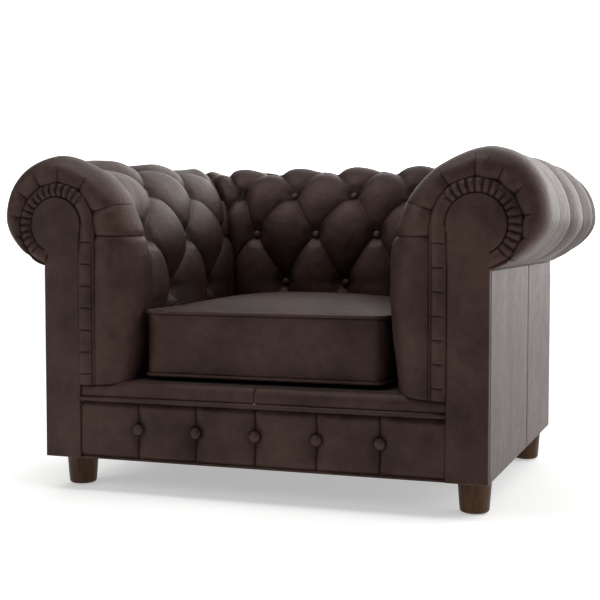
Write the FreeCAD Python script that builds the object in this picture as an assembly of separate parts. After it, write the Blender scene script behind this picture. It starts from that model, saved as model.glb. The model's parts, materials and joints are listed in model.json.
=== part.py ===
# Chesterfield armchair: a hardwood frame with rolled, tufted arms and back, and a loose seat cushion.
#
# Millimetres. +Z is up, +X is to the right of someone facing the chair, and the front faces -Y.
# The chair is drawn with the plane of its arm facings at Y = 0 and the floor at Z = 0, so that a Y value
# here is a distance back from the front. Each piece is moved forward by half the depth when it is saved,
# which puts the origin at the middle of the footprint. Pieces of the right arm are drawn at +X and
# mirrored for the left one.
import FreeCAD, Part
import math
import os

# Driving dimensions: the whole chair
OVERALL_WIDTH = 1180.0
OVERALL_DEPTH = 900.0
OVERALL_HEIGHT = 730.0
FOOT_HEIGHT = 72.0

# Section of the arms and the back
ARM_THICKNESS = 312.5
BACK_THICKNESS = 303.0
ROLL_RADIUS = 137.0
ROLL_OVERHANG = 105.0
DECK_TOP = 240.0
FLARE_START = 160.0
FLARE_RADIUS = 1500.0
BLEND_ANGLE = 135.0

# Layers of the upholstery
LEATHER = 1.5
PAD_THICKNESS = 55.0
HESSIAN = 1.5
PANEL_BOARD = 2.5
FRONT_ROUND = 60.0
COVER_SETBACK = 6.0

# Arm facing, its pleated band and the board behind them
FACING_RADIUS = 60.0
FACING_POST_WIDTH = 85.0
FACING_OFFSET_X = 4.0
FACING_DROP = 19.0
FACING_THICKNESS = 10.0
BAND_WIDTH = 31.0
BAND_POST_WIDTH = 35.0
BAND_THICKNESS = 8.0
FRONT_BOARD = 22.0
FRONT_BOARD_MARGIN = 3.0
BOARD_TOE_HEIGHT = 60.0

# Frame timber
RAIL_THICKNESS = 25.0
RAIL_TOP = 200.0
DUST_COVER = 1.0
POST_SIZE = 46.0
POST_TOP = 620.0
TOP_RAIL_HEIGHT = 28.0
TOP_RAIL_DROP = 9.0
RIB_THICKNESS = 18.0
ARM_RIB_FRONT = 330.0
BACK_RIB_SPACING = 330.0
TACK_RAIL_WIDTH = 22.0
TACK_RAIL_HEIGHT = 50.0
TACK_RAIL_OVERRUN = 64.5
CORNER_BLOCK_LEG = 120.0
CORNER_BLOCK_HEIGHT = 45.0

# Dowels and screws
DOWEL_RADIUS = 4.0
DOWEL_LENGTH = 50.0
DOWEL_LOW = 105.0
DOWEL_HIGH = 170.0
SCREW_RADIUS = 2.2
SCREW_HEAD_RADIUS = 4.5
SCREW_HEAD = 3.0
SCREW_HEIGHT = 97.0
ROUND_CLEARANCE = 0.1

# Seat platform
SPRING_COUNT = 5
SPRING_SPACING = 110.0
SPRING_WIRE = 3.8
SPRING_HALF_WIDTH = 25.0
SPRING_ROW = 24.0
CLIP_LENGTH = 36.0
CLIP_WIDTH = 14.0
CLIP_HEIGHT = 6.0
SPRING_REST = 1.0
LIP_ROUND = 22.0
BORDER_PAD = 12.5
WELT_RADIUS = 4.8

# Buttons
BUTTON_RADIUS = 10.0
BUTTON_RISE = 6.5
BUTTON_EDGE = 2.0
BUTTON_DEPTH = 18.0
POCKET_MOUTH = 26.0
POCKET_RELIEF = 6.0
POCKET_TURN = 30.0
ARM_BUTTON_FIRST = 127.0
ARM_BUTTON_STEP = 110.0
BACK_BUTTON_STEP = 80.0
BUTTON_MARGIN = 20.0
LOW_BUTTON_ROW = 200.0
MIDDLE_BUTTON_ROW = 309.0
HIGH_BUTTON_ROW = 417.0
CREST_BUTTON_ROW = 560.0
BASE_BUTTON_RADIUS = 14.0
BASE_BUTTON_RISE = 9.0
BASE_BUTTON_SINK = 8.0
BASE_BUTTON_STEP = 133.0
BASE_BUTTON_COUNT = 5
BASE_BUTTON_HEIGHT = 139.0

# Feet
FOOT_TOP_RADIUS = 35.0
FOOT_BOTTOM_RADIUS = 30.0
FOOT_EDGE = 7.0
FOOT_INSET = 43.0
FOOT_SETBACK = 85.0
GLIDE_RADIUS = 14.0
GLIDE_THICKNESS = 2.0
BOLT_RADIUS = 4.0
BOLT_DEPTH_IN_FOOT = 45.0
TEE_NUT_RADIUS = 11.0
TEE_NUT_WALL = 1.5
TEE_NUT_BARREL = 14.0

# Loose seat cushion
CUSHION_SIDE_GAP = 2.5
CUSHION_FRONT = 45.0
CUSHION_REAR_GAP = 9.0
CUSHION_HEIGHT = 185.0
CUSHION_CORNER = 40.0
CUSHION_TOP_ROUND = 32.0
CUSHION_BOTTOM_ROUND = 13.0
CUSHION_WELT_RADIUS = 4.5
CUSHION_WRAP = 12.0
SOFT_CLEARANCE = 0.3
ZIP_LENGTH = 420.0
ZIP_TAPE_WIDTH = 32.0
ZIP_TAPE_THICKNESS = 1.0
ZIP_CHAIN_WIDTH = 6.0
ZIP_CHAIN_RISE = 1.5
SLIDER_LENGTH = 14.0
SLIDER_WIDTH = 12.0
SLIDER_WALL = 1.6

# Places worked out from the driving dimensions
BODY_WIDTH = OVERALL_WIDTH - 2 * ROLL_OVERHANG
SEAT_WIDTH = OVERALL_WIDTH - 2 * ARM_THICKNESS
SEAT_DEPTH = OVERALL_DEPTH - BACK_THICKNESS
CUSHION_WIDTH = SEAT_WIDTH - 2 * CUSHION_SIDE_GAP
BUTTON_ROW_ARCS = (LOW_BUTTON_ROW, MIDDLE_BUTTON_ROW, HIGH_BUTTON_ROW, CREST_BUTTON_ROW)
ROLL_X = OVERALL_WIDTH / 2 - ROLL_RADIUS
ROLL_Z = OVERALL_HEIGHT - ROLL_RADIUS
BODY_X = BODY_WIDTH / 2
UNDER_RADIUS = ROLL_OVERHANG
SEAM_Z = ROLL_Z - UNDER_RADIUS
MITRE = OVERALL_DEPTH - OVERALL_WIDTH / 2
ARM_INNER = SEAT_WIDTH / 2
BACK_INNER = SEAT_DEPTH - MITRE
FULL_Z = DECK_TOP + FLARE_START
CORE_INSET = LEATHER + PAD_THICKNESS + HESSIAN
FRAME_X = BODY_X - LEATHER - PANEL_BOARD
FRAME_REAR = MITRE + FRAME_X
FACING_X = ROLL_X + FACING_OFFSET_X
FACING_Z = ROLL_Z - FACING_DROP
FACING_INNER = BODY_X - FACING_POST_WIDTH
BAND_INNER = FACING_INNER - BAND_POST_WIDTH
BOARD_FRONT = FACING_THICKNESS
BOARD_BACK = BOARD_FRONT + FRONT_BOARD
FRAME_BOTTOM = FOOT_HEIGHT + DUST_COVER
RAIL_FRONT = COVER_SETBACK + LEATHER + BORDER_PAD
RAIL_BACK = RAIL_FRONT + RAIL_THICKNESS
SIDE_RAIL_INNER = FRAME_X - RAIL_THICKNESS
BACK_RAIL_FRONT = FRAME_REAR - RAIL_THICKNESS
POST_INNER = FRAME_X - POST_SIZE
POST_FRONT = FRAME_REAR - POST_SIZE
TOP_RAIL_TOP = ROLL_Z + TOP_RAIL_HEIGHT / 2 - TOP_RAIL_DROP
LIP_BACK = RAIL_BACK - CLIP_WIDTH
BACK_CORE_FRONT = MITRE + BACK_INNER + CORE_INSET
ARM_CORE_INNER = ARM_INNER + CORE_INSET
FAR = 2 * OVERALL_WIDTH


def vec(x, y, z):
    return FreeCAD.Vector(x, y, z)


def box(x0, x1, y0, y1, z0, z1):
    return Part.makeBox(x1 - x0, y1 - y0, z1 - z0, vec(x0, y0, z0))


def both_sides(shape):
    mirrored = shape.mirror(vec(0, 0, 0), vec(1, 0, 0))
    return Part.makeCompound([shape, mirrored])


def mirror_left(shape):
    return shape.mirror(vec(0, 0, 0), vec(1, 0, 0))


def cut_all(shape, tools):
    for tool in tools:
        shape = shape.cut(tool)
    return shape


def prism(points, direction):
    corners = [vec(*point) for point in points]
    wire = Part.makePolygon(corners + corners[:1])
    return Part.Face(wire).extrude(direction)


def on_circle(centre, radius, degrees):
    angle = math.radians(degrees)
    return vec(centre[0] + radius * math.cos(angle), 0, centre[1] + radius * math.sin(angle))


def arc_edge(centre, radius, start, end):
    middle = (start + end) / 2
    ends = [on_circle(centre, radius, degrees) for degrees in (start, middle, end)]
    return Part.Arc(*ends).toShape()


# The section of an arm, across its length
#
# From the deck the inner face leans in along a wide flare arc, rises straight, and leans outwards along
# the blend arc into the roll. The roll goes over the top, and a smaller arc tucks it in to the seam at
# the top of the outside panel. The same section, turned a quarter, is the back.

def blend_radius(inner):
    angle = math.radians(BLEND_ANGLE)
    reach = ROLL_X + ROLL_RADIUS * math.cos(angle) - inner
    return reach / (1 + math.cos(angle))


def blend_centre(inner):
    angle = math.radians(BLEND_ANGLE)
    step = ROLL_RADIUS - blend_radius(inner)
    return (ROLL_X + step * math.cos(angle), ROLL_Z + step * math.sin(angle))


def section_face(inner, inset):
    blend = blend_centre(inner)
    blend_r = blend_radius(inner) - inset
    flare_centre = (inner + FLARE_RADIUS, FULL_Z)
    flare_r = FLARE_RADIUS - inset
    flare_angle = 180 + math.degrees(math.asin(FLARE_START / flare_r))
    under_centre = (BODY_X, ROLL_Z)
    under_r = UNDER_RADIUS - inset
    bottom = on_circle(flare_centre, flare_r, flare_angle)
    full_low = on_circle(flare_centre, flare_r, 180)
    full_high = on_circle(blend, blend_r, 180)
    seam = on_circle(under_centre, under_r, -90)
    foot = vec(BODY_X, 0, DECK_TOP)
    edges = [
        arc_edge(flare_centre, flare_r, flare_angle, 180),
        Part.makeLine(full_low, full_high),
        arc_edge(blend, blend_r, 180, BLEND_ANGLE),
        arc_edge((ROLL_X, ROLL_Z), ROLL_RADIUS - inset, BLEND_ANGLE, 0),
        arc_edge(under_centre, under_r, 0, -90),
        Part.makeLine(seam, foot),
        Part.makeLine(foot, bottom),
    ]
    return Part.Face(Part.Wire(edges))


def section_solid(inner, inset, y0, y1, front_round=0.0):
    face = section_face(inner, inset)
    face.translate(vec(0, y0, 0))
    solid = face.extrude(vec(0, y1 - y0, 0))
    if front_round:
        rounded = []
        for edge in solid.Edges:
            bounds = edge.BoundBox
            at_front = abs(bounds.YMax - y0) < 0.01
            at_panel = bounds.XMin > BODY_X - 0.01 and bounds.XMax < BODY_X + 0.01
            closing = at_panel or bounds.ZMax < DECK_TOP + 0.01
            if at_front and not closing:
                rounded.append(edge)
        solid = solid.makeFillet(front_round, rounded)
    return solid


def flare_x(inner, inset):
    # Where the inner face, at some depth in the upholstery, meets the level of the deck.
    return inner + FLARE_RADIUS - math.sqrt((FLARE_RADIUS - inset)**2 - FLARE_START**2)


def section_point(inner, arc):
    # Place and outward normal of the surface at a distance along the section from the deck.
    blend = blend_centre(inner)
    blend_r = blend_radius(inner)
    flare = math.asin(FLARE_START / FLARE_RADIUS) * FLARE_RADIUS
    straight = blend[1] - FULL_Z
    turn = math.radians(180 - BLEND_ANGLE) * blend_r
    if arc < flare + straight:
        return vec(inner, 0, DECK_TOP + arc), vec(-1, 0, 0)
    if arc < flare + straight + turn:
        degrees = 180 - math.degrees((arc - flare - straight) / blend_r)
        normal = on_circle((0, 0), 1, degrees)
        return on_circle(blend, blend_r, degrees), normal
    degrees = BLEND_ANGLE - math.degrees((arc - flare - straight - turn) / ROLL_RADIUS)
    normal = on_circle((0, 0), 1, degrees)
    return on_circle((ROLL_X, ROLL_Z), ROLL_RADIUS, degrees), normal


# Arms and back meet at a mitre that starts at the inner corner of the seat.

def arm_side_of_mitre():
    points = [(0, -FAR, 0), (FAR, -FAR, 0), (FAR, FAR + MITRE, 0), (0, MITRE, 0)]
    return prism(points, vec(0, 0, OVERALL_HEIGHT))


def back_side_of_mitre():
    points = [(0, MITRE, 0), (FAR, FAR + MITRE, 0), (-FAR, FAR + MITRE, 0)]
    return prism(points, vec(0, 0, OVERALL_HEIGHT))


def turn_to_back(shape):
    turned = shape.copy()
    turned.rotate(vec(0, 0, 0), vec(0, 0, 1), 90)
    turned.translate(vec(0, MITRE, 0))
    return turned


ARM_SIDE = arm_side_of_mitre()
BACK_SIDE = back_side_of_mitre()


def arm_shell(outer_inset, inner_inset, y_front, rounding):
    outer_round = rounding - outer_inset if rounding else 0.0
    inner_round = rounding - inner_inset if rounding else 0.0
    outer = section_solid(ARM_INNER, outer_inset, y_front, OVERALL_DEPTH, outer_round).common(ARM_SIDE)
    inner_front = y_front + inner_inset - outer_inset if rounding else y_front
    inner = section_solid(ARM_INNER, inner_inset, inner_front, OVERALL_DEPTH, inner_round)
    return outer.cut(inner)


def back_shell(outer_inset, inner_inset):
    outer = turn_to_back(section_solid(BACK_INNER, outer_inset, -OVERALL_WIDTH, OVERALL_WIDTH))
    inner = turn_to_back(section_solid(BACK_INNER, inner_inset, -OVERALL_WIDTH, OVERALL_WIDTH))
    return outer.common(BACK_SIDE).cut(inner)


# Buttons and the pockets that they sit in

def button(radius, rise, edge):
    # A covered button is a short cylinder with a domed face.
    dome = rise - edge
    ball_radius = (radius**2 + dome**2) / (2 * dome)
    ball = Part.makeSphere(ball_radius, vec(0, 0, rise - ball_radius))
    return Part.makeCylinder(radius, rise).common(ball)


def pocket():
    slope = (POCKET_MOUTH - BUTTON_RADIUS) / BUTTON_DEPTH
    top = POCKET_MOUTH + slope * POCKET_RELIEF
    cone = Part.makeCone(BUTTON_RADIUS, top, BUTTON_DEPTH + POCKET_RELIEF)
    cone.rotate(vec(0, 0, 0), vec(0, 0, 1), POCKET_TURN)
    return cone


def place_on(shape, point, normal):
    placed = shape.copy()
    base = point - normal * BUTTON_DEPTH
    rotation = FreeCAD.Rotation(vec(0, 0, 1), normal)
    placed.Placement = FreeCAD.Placement(base, rotation).multiply(shape.Placement)
    return placed


def arm_button_places():
    places = []
    for row, arc in enumerate(BUTTON_ROW_ARCS):
        point, normal = section_point(ARM_INNER, arc)
        shift = 1 if row % 2 == 0 else 0
        y = ARM_BUTTON_FIRST + shift * ARM_BUTTON_STEP
        while y + BUTTON_MARGIN < point.x + MITRE:
            places.append((point + vec(0, y, 0), normal))
            y += 2 * ARM_BUTTON_STEP
    return places


def back_button_places():
    places = []
    for row, arc in enumerate(BUTTON_ROW_ARCS):
        point, normal = section_point(BACK_INNER, arc)
        shift = 0 if row % 2 == 0 else 1
        x = shift * BACK_BUTTON_STEP
        while x + BUTTON_MARGIN < point.x:
            sides = [x, -x] if x else [x]
            for side in sides:
                at = vec(side, point.x + MITRE, point.z)
                places.append((at, vec(0, normal.x, normal.z)))
            x += 2 * BACK_BUTTON_STEP
    return places


def placed_copies(shape, places):
    return [place_on(shape, point, normal) for point, normal in places]


ARM_BUTTONS = arm_button_places()
BACK_BUTTONS = back_button_places()
ARM_POCKETS = Part.makeCompound(placed_copies(pocket(), ARM_BUTTONS))
BACK_POCKETS = Part.makeCompound(placed_copies(pocket(), BACK_BUTTONS))


# Timber frame

def front_board():
    back = vec(0, BOARD_FRONT, 0)
    disc_radius = FACING_RADIUS + BAND_WIDTH - FRONT_BOARD_MARGIN
    disc = Part.makeCylinder(disc_radius, FRONT_BOARD, back + vec(FACING_X, 0, FACING_Z), vec(0, 1, 0))
    upper = box(BAND_INNER + FRONT_BOARD_MARGIN, FRAME_X, BOARD_FRONT, BOARD_BACK, DECK_TOP, FACING_Z)
    toe = box(ARM_CORE_INNER, FRAME_X, BOARD_FRONT, BOARD_BACK, DECK_TOP, DECK_TOP + BOARD_TOE_HEIGHT)
    lower = box(FACING_INNER, FRAME_X, BOARD_FRONT, BOARD_BACK, FRAME_BOTTOM, DECK_TOP)
    return disc.fuse([upper, toe, lower]).removeSplitter()


def front_rail():
    return box(-FACING_INNER, FACING_INNER, RAIL_FRONT, RAIL_BACK, FRAME_BOTTOM, RAIL_TOP)


def back_rail():
    return box(-POST_INNER, POST_INNER, BACK_RAIL_FRONT, FRAME_REAR, FRAME_BOTTOM, RAIL_TOP)


def side_rail():
    return box(SIDE_RAIL_INNER, FRAME_X, BOARD_BACK, POST_FRONT, FRAME_BOTTOM, RAIL_TOP)


def rear_post():
    return box(POST_INNER, FRAME_X, POST_FRONT, FRAME_REAR, FRAME_BOTTOM, POST_TOP)


def arm_top_rail():
    low = TOP_RAIL_TOP - TOP_RAIL_HEIGHT
    return box(POST_INNER, FRAME_X, BOARD_BACK, POST_FRONT, low, TOP_RAIL_TOP)


def back_top_rail():
    low = TOP_RAIL_TOP - TOP_RAIL_HEIGHT
    return box(-POST_INNER, POST_INNER, POST_FRONT, FRAME_REAR, low, TOP_RAIL_TOP)


def arm_tack_rail():
    inner = flare_x(ARM_INNER, CORE_INSET)
    rear = ARM_CORE_INNER + MITRE
    return box(inner, inner + TACK_RAIL_WIDTH, BOARD_BACK, rear, DECK_TOP, DECK_TOP + TACK_RAIL_HEIGHT)


def back_tack_rail():
    front = MITRE + flare_x(BACK_INNER, CORE_INSET)
    half = ARM_CORE_INNER + TACK_RAIL_OVERRUN
    return box(-half, half, front, front + TACK_RAIL_WIDTH, DECK_TOP, DECK_TOP + TACK_RAIL_HEIGHT)


def rib(inner, y0):
    core = section_solid(inner, CORE_INSET, y0, y0 + RIB_THICKNESS)
    board = core.common(box(0, FRAME_X, y0, y0 + RIB_THICKNESS, DECK_TOP, SEAM_Z))
    head = core.common(box(0, FAR, y0, y0 + RIB_THICKNESS, SEAM_Z, OVERALL_HEIGHT))
    stem = box(SIDE_RAIL_INNER, FRAME_X, y0, y0 + RIB_THICKNESS, RAIL_TOP, DECK_TOP)
    trim = box(FRAME_X, BODY_X, y0, y0 + RIB_THICKNESS, SEAM_Z, ROLL_Z - UNDER_RADIUS + CORE_INSET)
    return board.fuse([head.cut(trim), stem]).removeSplitter()


def arm_ribs():
    rear = MITRE + flare_x(BACK_INNER, CORE_INSET) - RIB_THICKNESS
    ribs = [rib(ARM_INNER, ARM_RIB_FRONT), rib(ARM_INNER, rear).common(ARM_SIDE)]
    return [cut_all(piece, [arm_top_rail(), arm_tack_rail()]) for piece in ribs]


def back_ribs():
    ribs = []
    for side in (-1, 1):
        centre = side * BACK_RIB_SPACING / 2
        piece = turn_to_back(rib(BACK_INNER, -centre - RIB_THICKNESS / 2))
        ribs.append(cut_all(piece, [back_top_rail(), back_tack_rail()]))
    return Part.makeCompound(ribs)


def corner_block(rear):
    corner_y = BACK_RAIL_FRONT if rear else RAIL_BACK
    step = -CORNER_BLOCK_LEG if rear else CORNER_BLOCK_LEG
    points = [
        (SIDE_RAIL_INNER, corner_y, FRAME_BOTTOM),
        (SIDE_RAIL_INNER - CORNER_BLOCK_LEG, corner_y, FRAME_BOTTOM),
        (SIDE_RAIL_INNER, corner_y + step, FRAME_BOTTOM),
    ]
    block = prism(points, vec(0, 0, CORNER_BLOCK_HEIGHT))
    return block.cut(rear_post())


# Fasteners of the frame

def rod(radius, length, start, direction):
    return Part.makeCylinder(radius, length, start, direction)


def dowel_starts():
    # Each entry is the middle of a dowel and its direction, for the right-hand half of the frame.
    along_x = vec(1, 0, 0)
    along_y = vec(0, 1, 0)
    rail_y = (RAIL_FRONT + BOARD_BACK) / 2
    side_x = FRAME_X - RAIL_THICKNESS / 2
    rear_y = FRAME_REAR - RAIL_THICKNESS / 2
    top_z = TOP_RAIL_TOP - TOP_RAIL_HEIGHT / 2
    top_x = FRAME_X - POST_SIZE / 2
    middles = []
    for z in (DOWEL_LOW, DOWEL_HIGH):
        middles.append((vec(FACING_INNER, rail_y, z), along_x))
        middles.append((vec(side_x, BOARD_BACK + DOWEL_LENGTH / 2 - FRONT_BOARD / 2, z), along_y))
        middles.append((vec(side_x, POST_FRONT, z), along_y))
        middles.append((vec(POST_INNER, rear_y, z), along_x))
    middles.append((vec(top_x, BOARD_BACK + DOWEL_LENGTH / 2 - FRONT_BOARD / 2, top_z), along_y))
    middles.append((vec(top_x, POST_FRONT, top_z), along_y))
    middles.append((vec(POST_INNER, rear_y, top_z), along_x))
    return middles


def dowels(radius, length):
    rods = []
    for middle, direction in dowel_starts():
        rods.append(rod(radius, length, middle - direction * (length / 2), direction))
    return both_sides(Part.makeCompound(rods))


def block_screws(clearance):
    screws = []
    inset = CORNER_BLOCK_LEG * 0.65
    for corner_y, sign in ((RAIL_BACK, 1), (BACK_RAIL_FRONT, -1)):
        depth = CORNER_BLOCK_LEG - inset
        tip = RAIL_THICKNESS * 0.7
        across = vec(SIDE_RAIL_INNER - inset, corner_y - sign * tip, SCREW_HEIGHT)
        along = vec(SIDE_RAIL_INNER + tip, corner_y + sign * inset, SCREW_HEIGHT)
        length = tip + depth * 0.5
        for start, direction in ((across, vec(0, sign, 0)), (along, vec(-1, 0, 0))):
            shank = rod(SCREW_RADIUS + clearance, length, start, direction)
            reach = SCREW_HEAD if clearance == 0 else depth
            head = rod(SCREW_HEAD_RADIUS + clearance, reach, start + direction * length, direction)
            screws.append(shank.fuse(head))
    return both_sides(Part.makeCompound(screws))


# Feet and what holds them

def foot_places():
    x = BODY_X - FOOT_INSET
    rear = MITRE + BODY_X - FOOT_SETBACK
    return {
        "front_left": (-x, FOOT_SETBACK),
        "front_right": (x, FOOT_SETBACK),
        "rear_left": (-x, rear),
        "rear_right": (x, rear),
    }


def foot():
    wall = [vec(0, 0, GLIDE_THICKNESS), vec(FOOT_BOTTOM_RADIUS - FOOT_EDGE, 0, GLIDE_THICKNESS)]
    edge_end = vec(FOOT_BOTTOM_RADIUS, 0, GLIDE_THICKNESS + FOOT_EDGE)
    bend = vec(FOOT_BOTTOM_RADIUS - FOOT_EDGE * 0.29, 0, GLIDE_THICKNESS + FOOT_EDGE * 0.29)
    top = vec(FOOT_TOP_RADIUS, 0, FOOT_HEIGHT)
    axis_top = vec(0, 0, FOOT_HEIGHT)
    edges = [
        Part.makeLine(wall[0], wall[1]),
        Part.Arc(wall[1], bend, edge_end).toShape(),
        Part.makeLine(edge_end, top),
        Part.makeLine(top, axis_top),
        Part.makeLine(axis_top, wall[0]),
    ]
    body = Part.Face(Part.Wire(edges)).revolve(vec(0, 0, 0), vec(0, 0, 1), 360)
    return body.cut(foot_bolt(ROUND_CLEARANCE))


def foot_bolt(clearance):
    bottom = FOOT_HEIGHT - BOLT_DEPTH_IN_FOOT
    top = FRAME_BOTTOM + CORNER_BLOCK_HEIGHT
    return rod(BOLT_RADIUS + clearance, top - bottom, vec(0, 0, bottom), vec(0, 0, 1))


def tee_nut(clearance):
    top = FRAME_BOTTOM + CORNER_BLOCK_HEIGHT
    barrel_radius = BOLT_RADIUS + ROUND_CLEARANCE + TEE_NUT_WALL + clearance
    flange = rod(TEE_NUT_RADIUS + clearance, TEE_NUT_WALL, vec(0, 0, top), vec(0, 0, 1))
    barrel = rod(barrel_radius, TEE_NUT_BARREL, vec(0, 0, top - TEE_NUT_BARREL), vec(0, 0, 1))
    return flange.fuse(barrel)


def glide():
    return rod(GLIDE_RADIUS, GLIDE_THICKNESS, vec(0, 0, 0), vec(0, 0, 1))


def at_each_foot(shape):
    copies = []
    for x, y in foot_places().values():
        copy = shape.copy()
        copy.translate(vec(x, y, 0))
        copies.append(copy)
    return Part.makeCompound(copies)


def dust_cover():
    sheet = box(-FRAME_X, FRAME_X, RAIL_FRONT, FRAME_REAR, FOOT_HEIGHT, FRAME_BOTTOM)
    return sheet.cut(front_board_pair()).cut(at_each_foot(foot_bolt(ROUND_CLEARANCE)))


def front_board_pair():
    return both_sides(front_board())


# Seat platform

SPRING_Z = RAIL_TOP + SPRING_WIRE / 2 + SPRING_REST
HESSIAN_Z = RAIL_TOP + CLIP_HEIGHT
DECK_HALF = ARM_CORE_INNER - HESSIAN
DECK_REAR = BACK_CORE_FRONT


def zigzag(x0):
    # One spring is a single wire: straight rows across the seat, joined by half circles.
    turn = SPRING_ROW / 2
    reach = SPRING_HALF_WIDTH - turn
    first = RAIL_BACK - CLIP_WIDTH / 2
    rows = int((BACK_RAIL_FRONT + CLIP_WIDTH / 2 - first) // SPRING_ROW) + 1
    edges = []
    for row in range(rows):
        side = 1 if row % 2 == 0 else -1
        y = first + row * SPRING_ROW
        start = vec(x0 - side * reach, y, SPRING_Z)
        end = vec(x0 + side * reach, y, SPRING_Z)
        edges.append(Part.makeLine(start, end))
        if row < rows - 1:
            tip = vec(x0 + side * (reach + turn), y + turn, SPRING_Z)
            edges.append(Part.Arc(end, tip, end + vec(0, SPRING_ROW, 0)).toShape())
    path = Part.Wire(edges)
    ring = Part.Wire(Part.makeCircle(SPRING_WIRE / 2, path.Vertexes[0].Point, vec(1, 0, 0)))
    return path.makePipeShell([ring], True, False)


def spring_columns():
    middle = (SPRING_COUNT - 1) / 2
    return [(index - middle) * SPRING_SPACING for index in range(SPRING_COUNT)]


def clips(springs):
    first = RAIL_BACK - CLIP_WIDTH / 2
    rows = int((BACK_RAIL_FRONT + CLIP_WIDTH / 2 - first) // SPRING_ROW)
    pieces = []
    for x0 in spring_columns():
        for y in (first, first + rows * SPRING_ROW):
            half = CLIP_LENGTH / 2
            reach = CLIP_WIDTH / 2
            pieces.append(box(x0 - half, x0 + half, y - reach, y + reach, RAIL_TOP, HESSIAN_Z))
    return Part.makeCompound([piece.cut(springs) for piece in pieces])


def seat_sheet(z0, z1):
    return box(-DECK_HALF, DECK_HALF, LIP_BACK, DECK_REAR, z0, z1)


def lip_solid(inset):
    y0 = COVER_SETBACK + inset
    z1 = DECK_TOP - inset
    solid = box(-FACING_INNER, FACING_INNER, y0, LIP_BACK, RAIL_TOP, z1)
    for edge in solid.Edges:
        bounds = edge.BoundBox
        if abs(bounds.YMax - y0) < 0.01 and abs(bounds.ZMin - z1) < 0.01:
            return solid.makeFillet(LIP_ROUND - inset, [edge])
    return solid


def lip_welt():
    return rod(WELT_RADIUS, 2 * FACING_INNER, vec(-FACING_INNER, COVER_SETBACK, RAIL_TOP), vec(1, 0, 0))


def base_border(y0, y1):
    return box(-FACING_INNER, FACING_INNER, y0, y1, FOOT_HEIGHT, RAIL_TOP).cut(lip_welt())


def base_button_copies(shape):
    middle = (BASE_BUTTON_COUNT - 1) / 2
    copies = []
    for index in range(BASE_BUTTON_COUNT):
        copy = shape.copy()
        base = vec((index - middle) * BASE_BUTTON_STEP, COVER_SETBACK + BASE_BUTTON_SINK, BASE_BUTTON_HEIGHT)
        copy.Placement = FreeCAD.Placement(base, FreeCAD.Rotation(vec(0, 0, 1), vec(0, -1, 0)))
        copies.append(copy)
    return Part.makeCompound(copies)


def base_pocket():
    return Part.makeCylinder(BASE_BUTTON_RADIUS, BASE_BUTTON_SINK + POCKET_RELIEF)


# Facing, band and outside panels of an arm

def keyhole(radius, post_inner, post_outer, bottom, y0, y1):
    disc = rod(radius, y1 - y0, vec(FACING_X, y0, FACING_Z), vec(0, 1, 0))
    post = box(post_inner, post_outer, y0, y1, bottom, FACING_Z)
    return disc.fuse(post).removeSplitter()


def facing():
    return keyhole(FACING_RADIUS, FACING_INNER, BODY_X, FOOT_HEIGHT, 0, FACING_THICKNESS)


def band():
    y0 = FACING_THICKNESS - BAND_THICKNESS
    outer = keyhole(FACING_RADIUS + BAND_WIDTH, BAND_INNER, BODY_X, DECK_TOP, y0, FACING_THICKNESS)
    return outer.cut(facing())


def front_zone():
    # The space in front of the arm's board that the facing and its band fill.
    radius = FACING_RADIUS + BAND_WIDTH
    return keyhole(radius, BAND_INNER, BODY_X, DECK_TOP, -FRONT_BOARD, FACING_THICKNESS)


def outside_arm(x0, x1, rear):
    return box(x0, x1, FACING_THICKNESS, rear, FOOT_HEIGHT, SEAM_Z)


def outside_back(y0, y1, half):
    return box(-half, half, y0, y1, FOOT_HEIGHT, SEAM_Z)


def arm_cover():
    shell = arm_shell(0.0, LEATHER, COVER_SETBACK, FRONT_ROUND)
    return cut_all(shell, [front_zone(), front_board(), ARM_POCKETS])


def arm_pad():
    y0 = COVER_SETBACK + LEATHER
    outer = section_solid(ARM_INNER, LEATHER, y0, OVERALL_DEPTH, FRONT_ROUND - LEATHER)
    core = section_solid(ARM_INNER, LEATHER + PAD_THICKNESS, BOARD_BACK, OVERALL_DEPTH)
    block = outer.common(ARM_SIDE).cut(core)
    panel_edge = box(FRAME_X, BODY_X, y0, BOARD_BACK, DECK_TOP, FACING_Z)
    return cut_all(block, [front_zone(), front_board(), panel_edge, ARM_POCKETS])


def arm_hessian():
    return arm_shell(LEATHER + PAD_THICKNESS, CORE_INSET, BOARD_BACK, 0.0)


# Loose seat cushion

CUSHION_BOTTOM = DECK_TOP + SOFT_CLEARANCE
CUSHION_SIDE = CUSHION_WIDTH / 2 - CUSHION_WELT_RADIUS
CUSHION_FACE = CUSHION_FRONT + CUSHION_WELT_RADIUS
CUSHION_REAR = SEAT_DEPTH - CUSHION_REAR_GAP - CUSHION_WELT_RADIUS
ZIP_Z = CUSHION_BOTTOM + CUSHION_BOTTOM_ROUND
ZIP_Z += (CUSHION_HEIGHT - CUSHION_BOTTOM_ROUND - CUSHION_TOP_ROUND) / 2
ZIP_FACE = CUSHION_REAR


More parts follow.
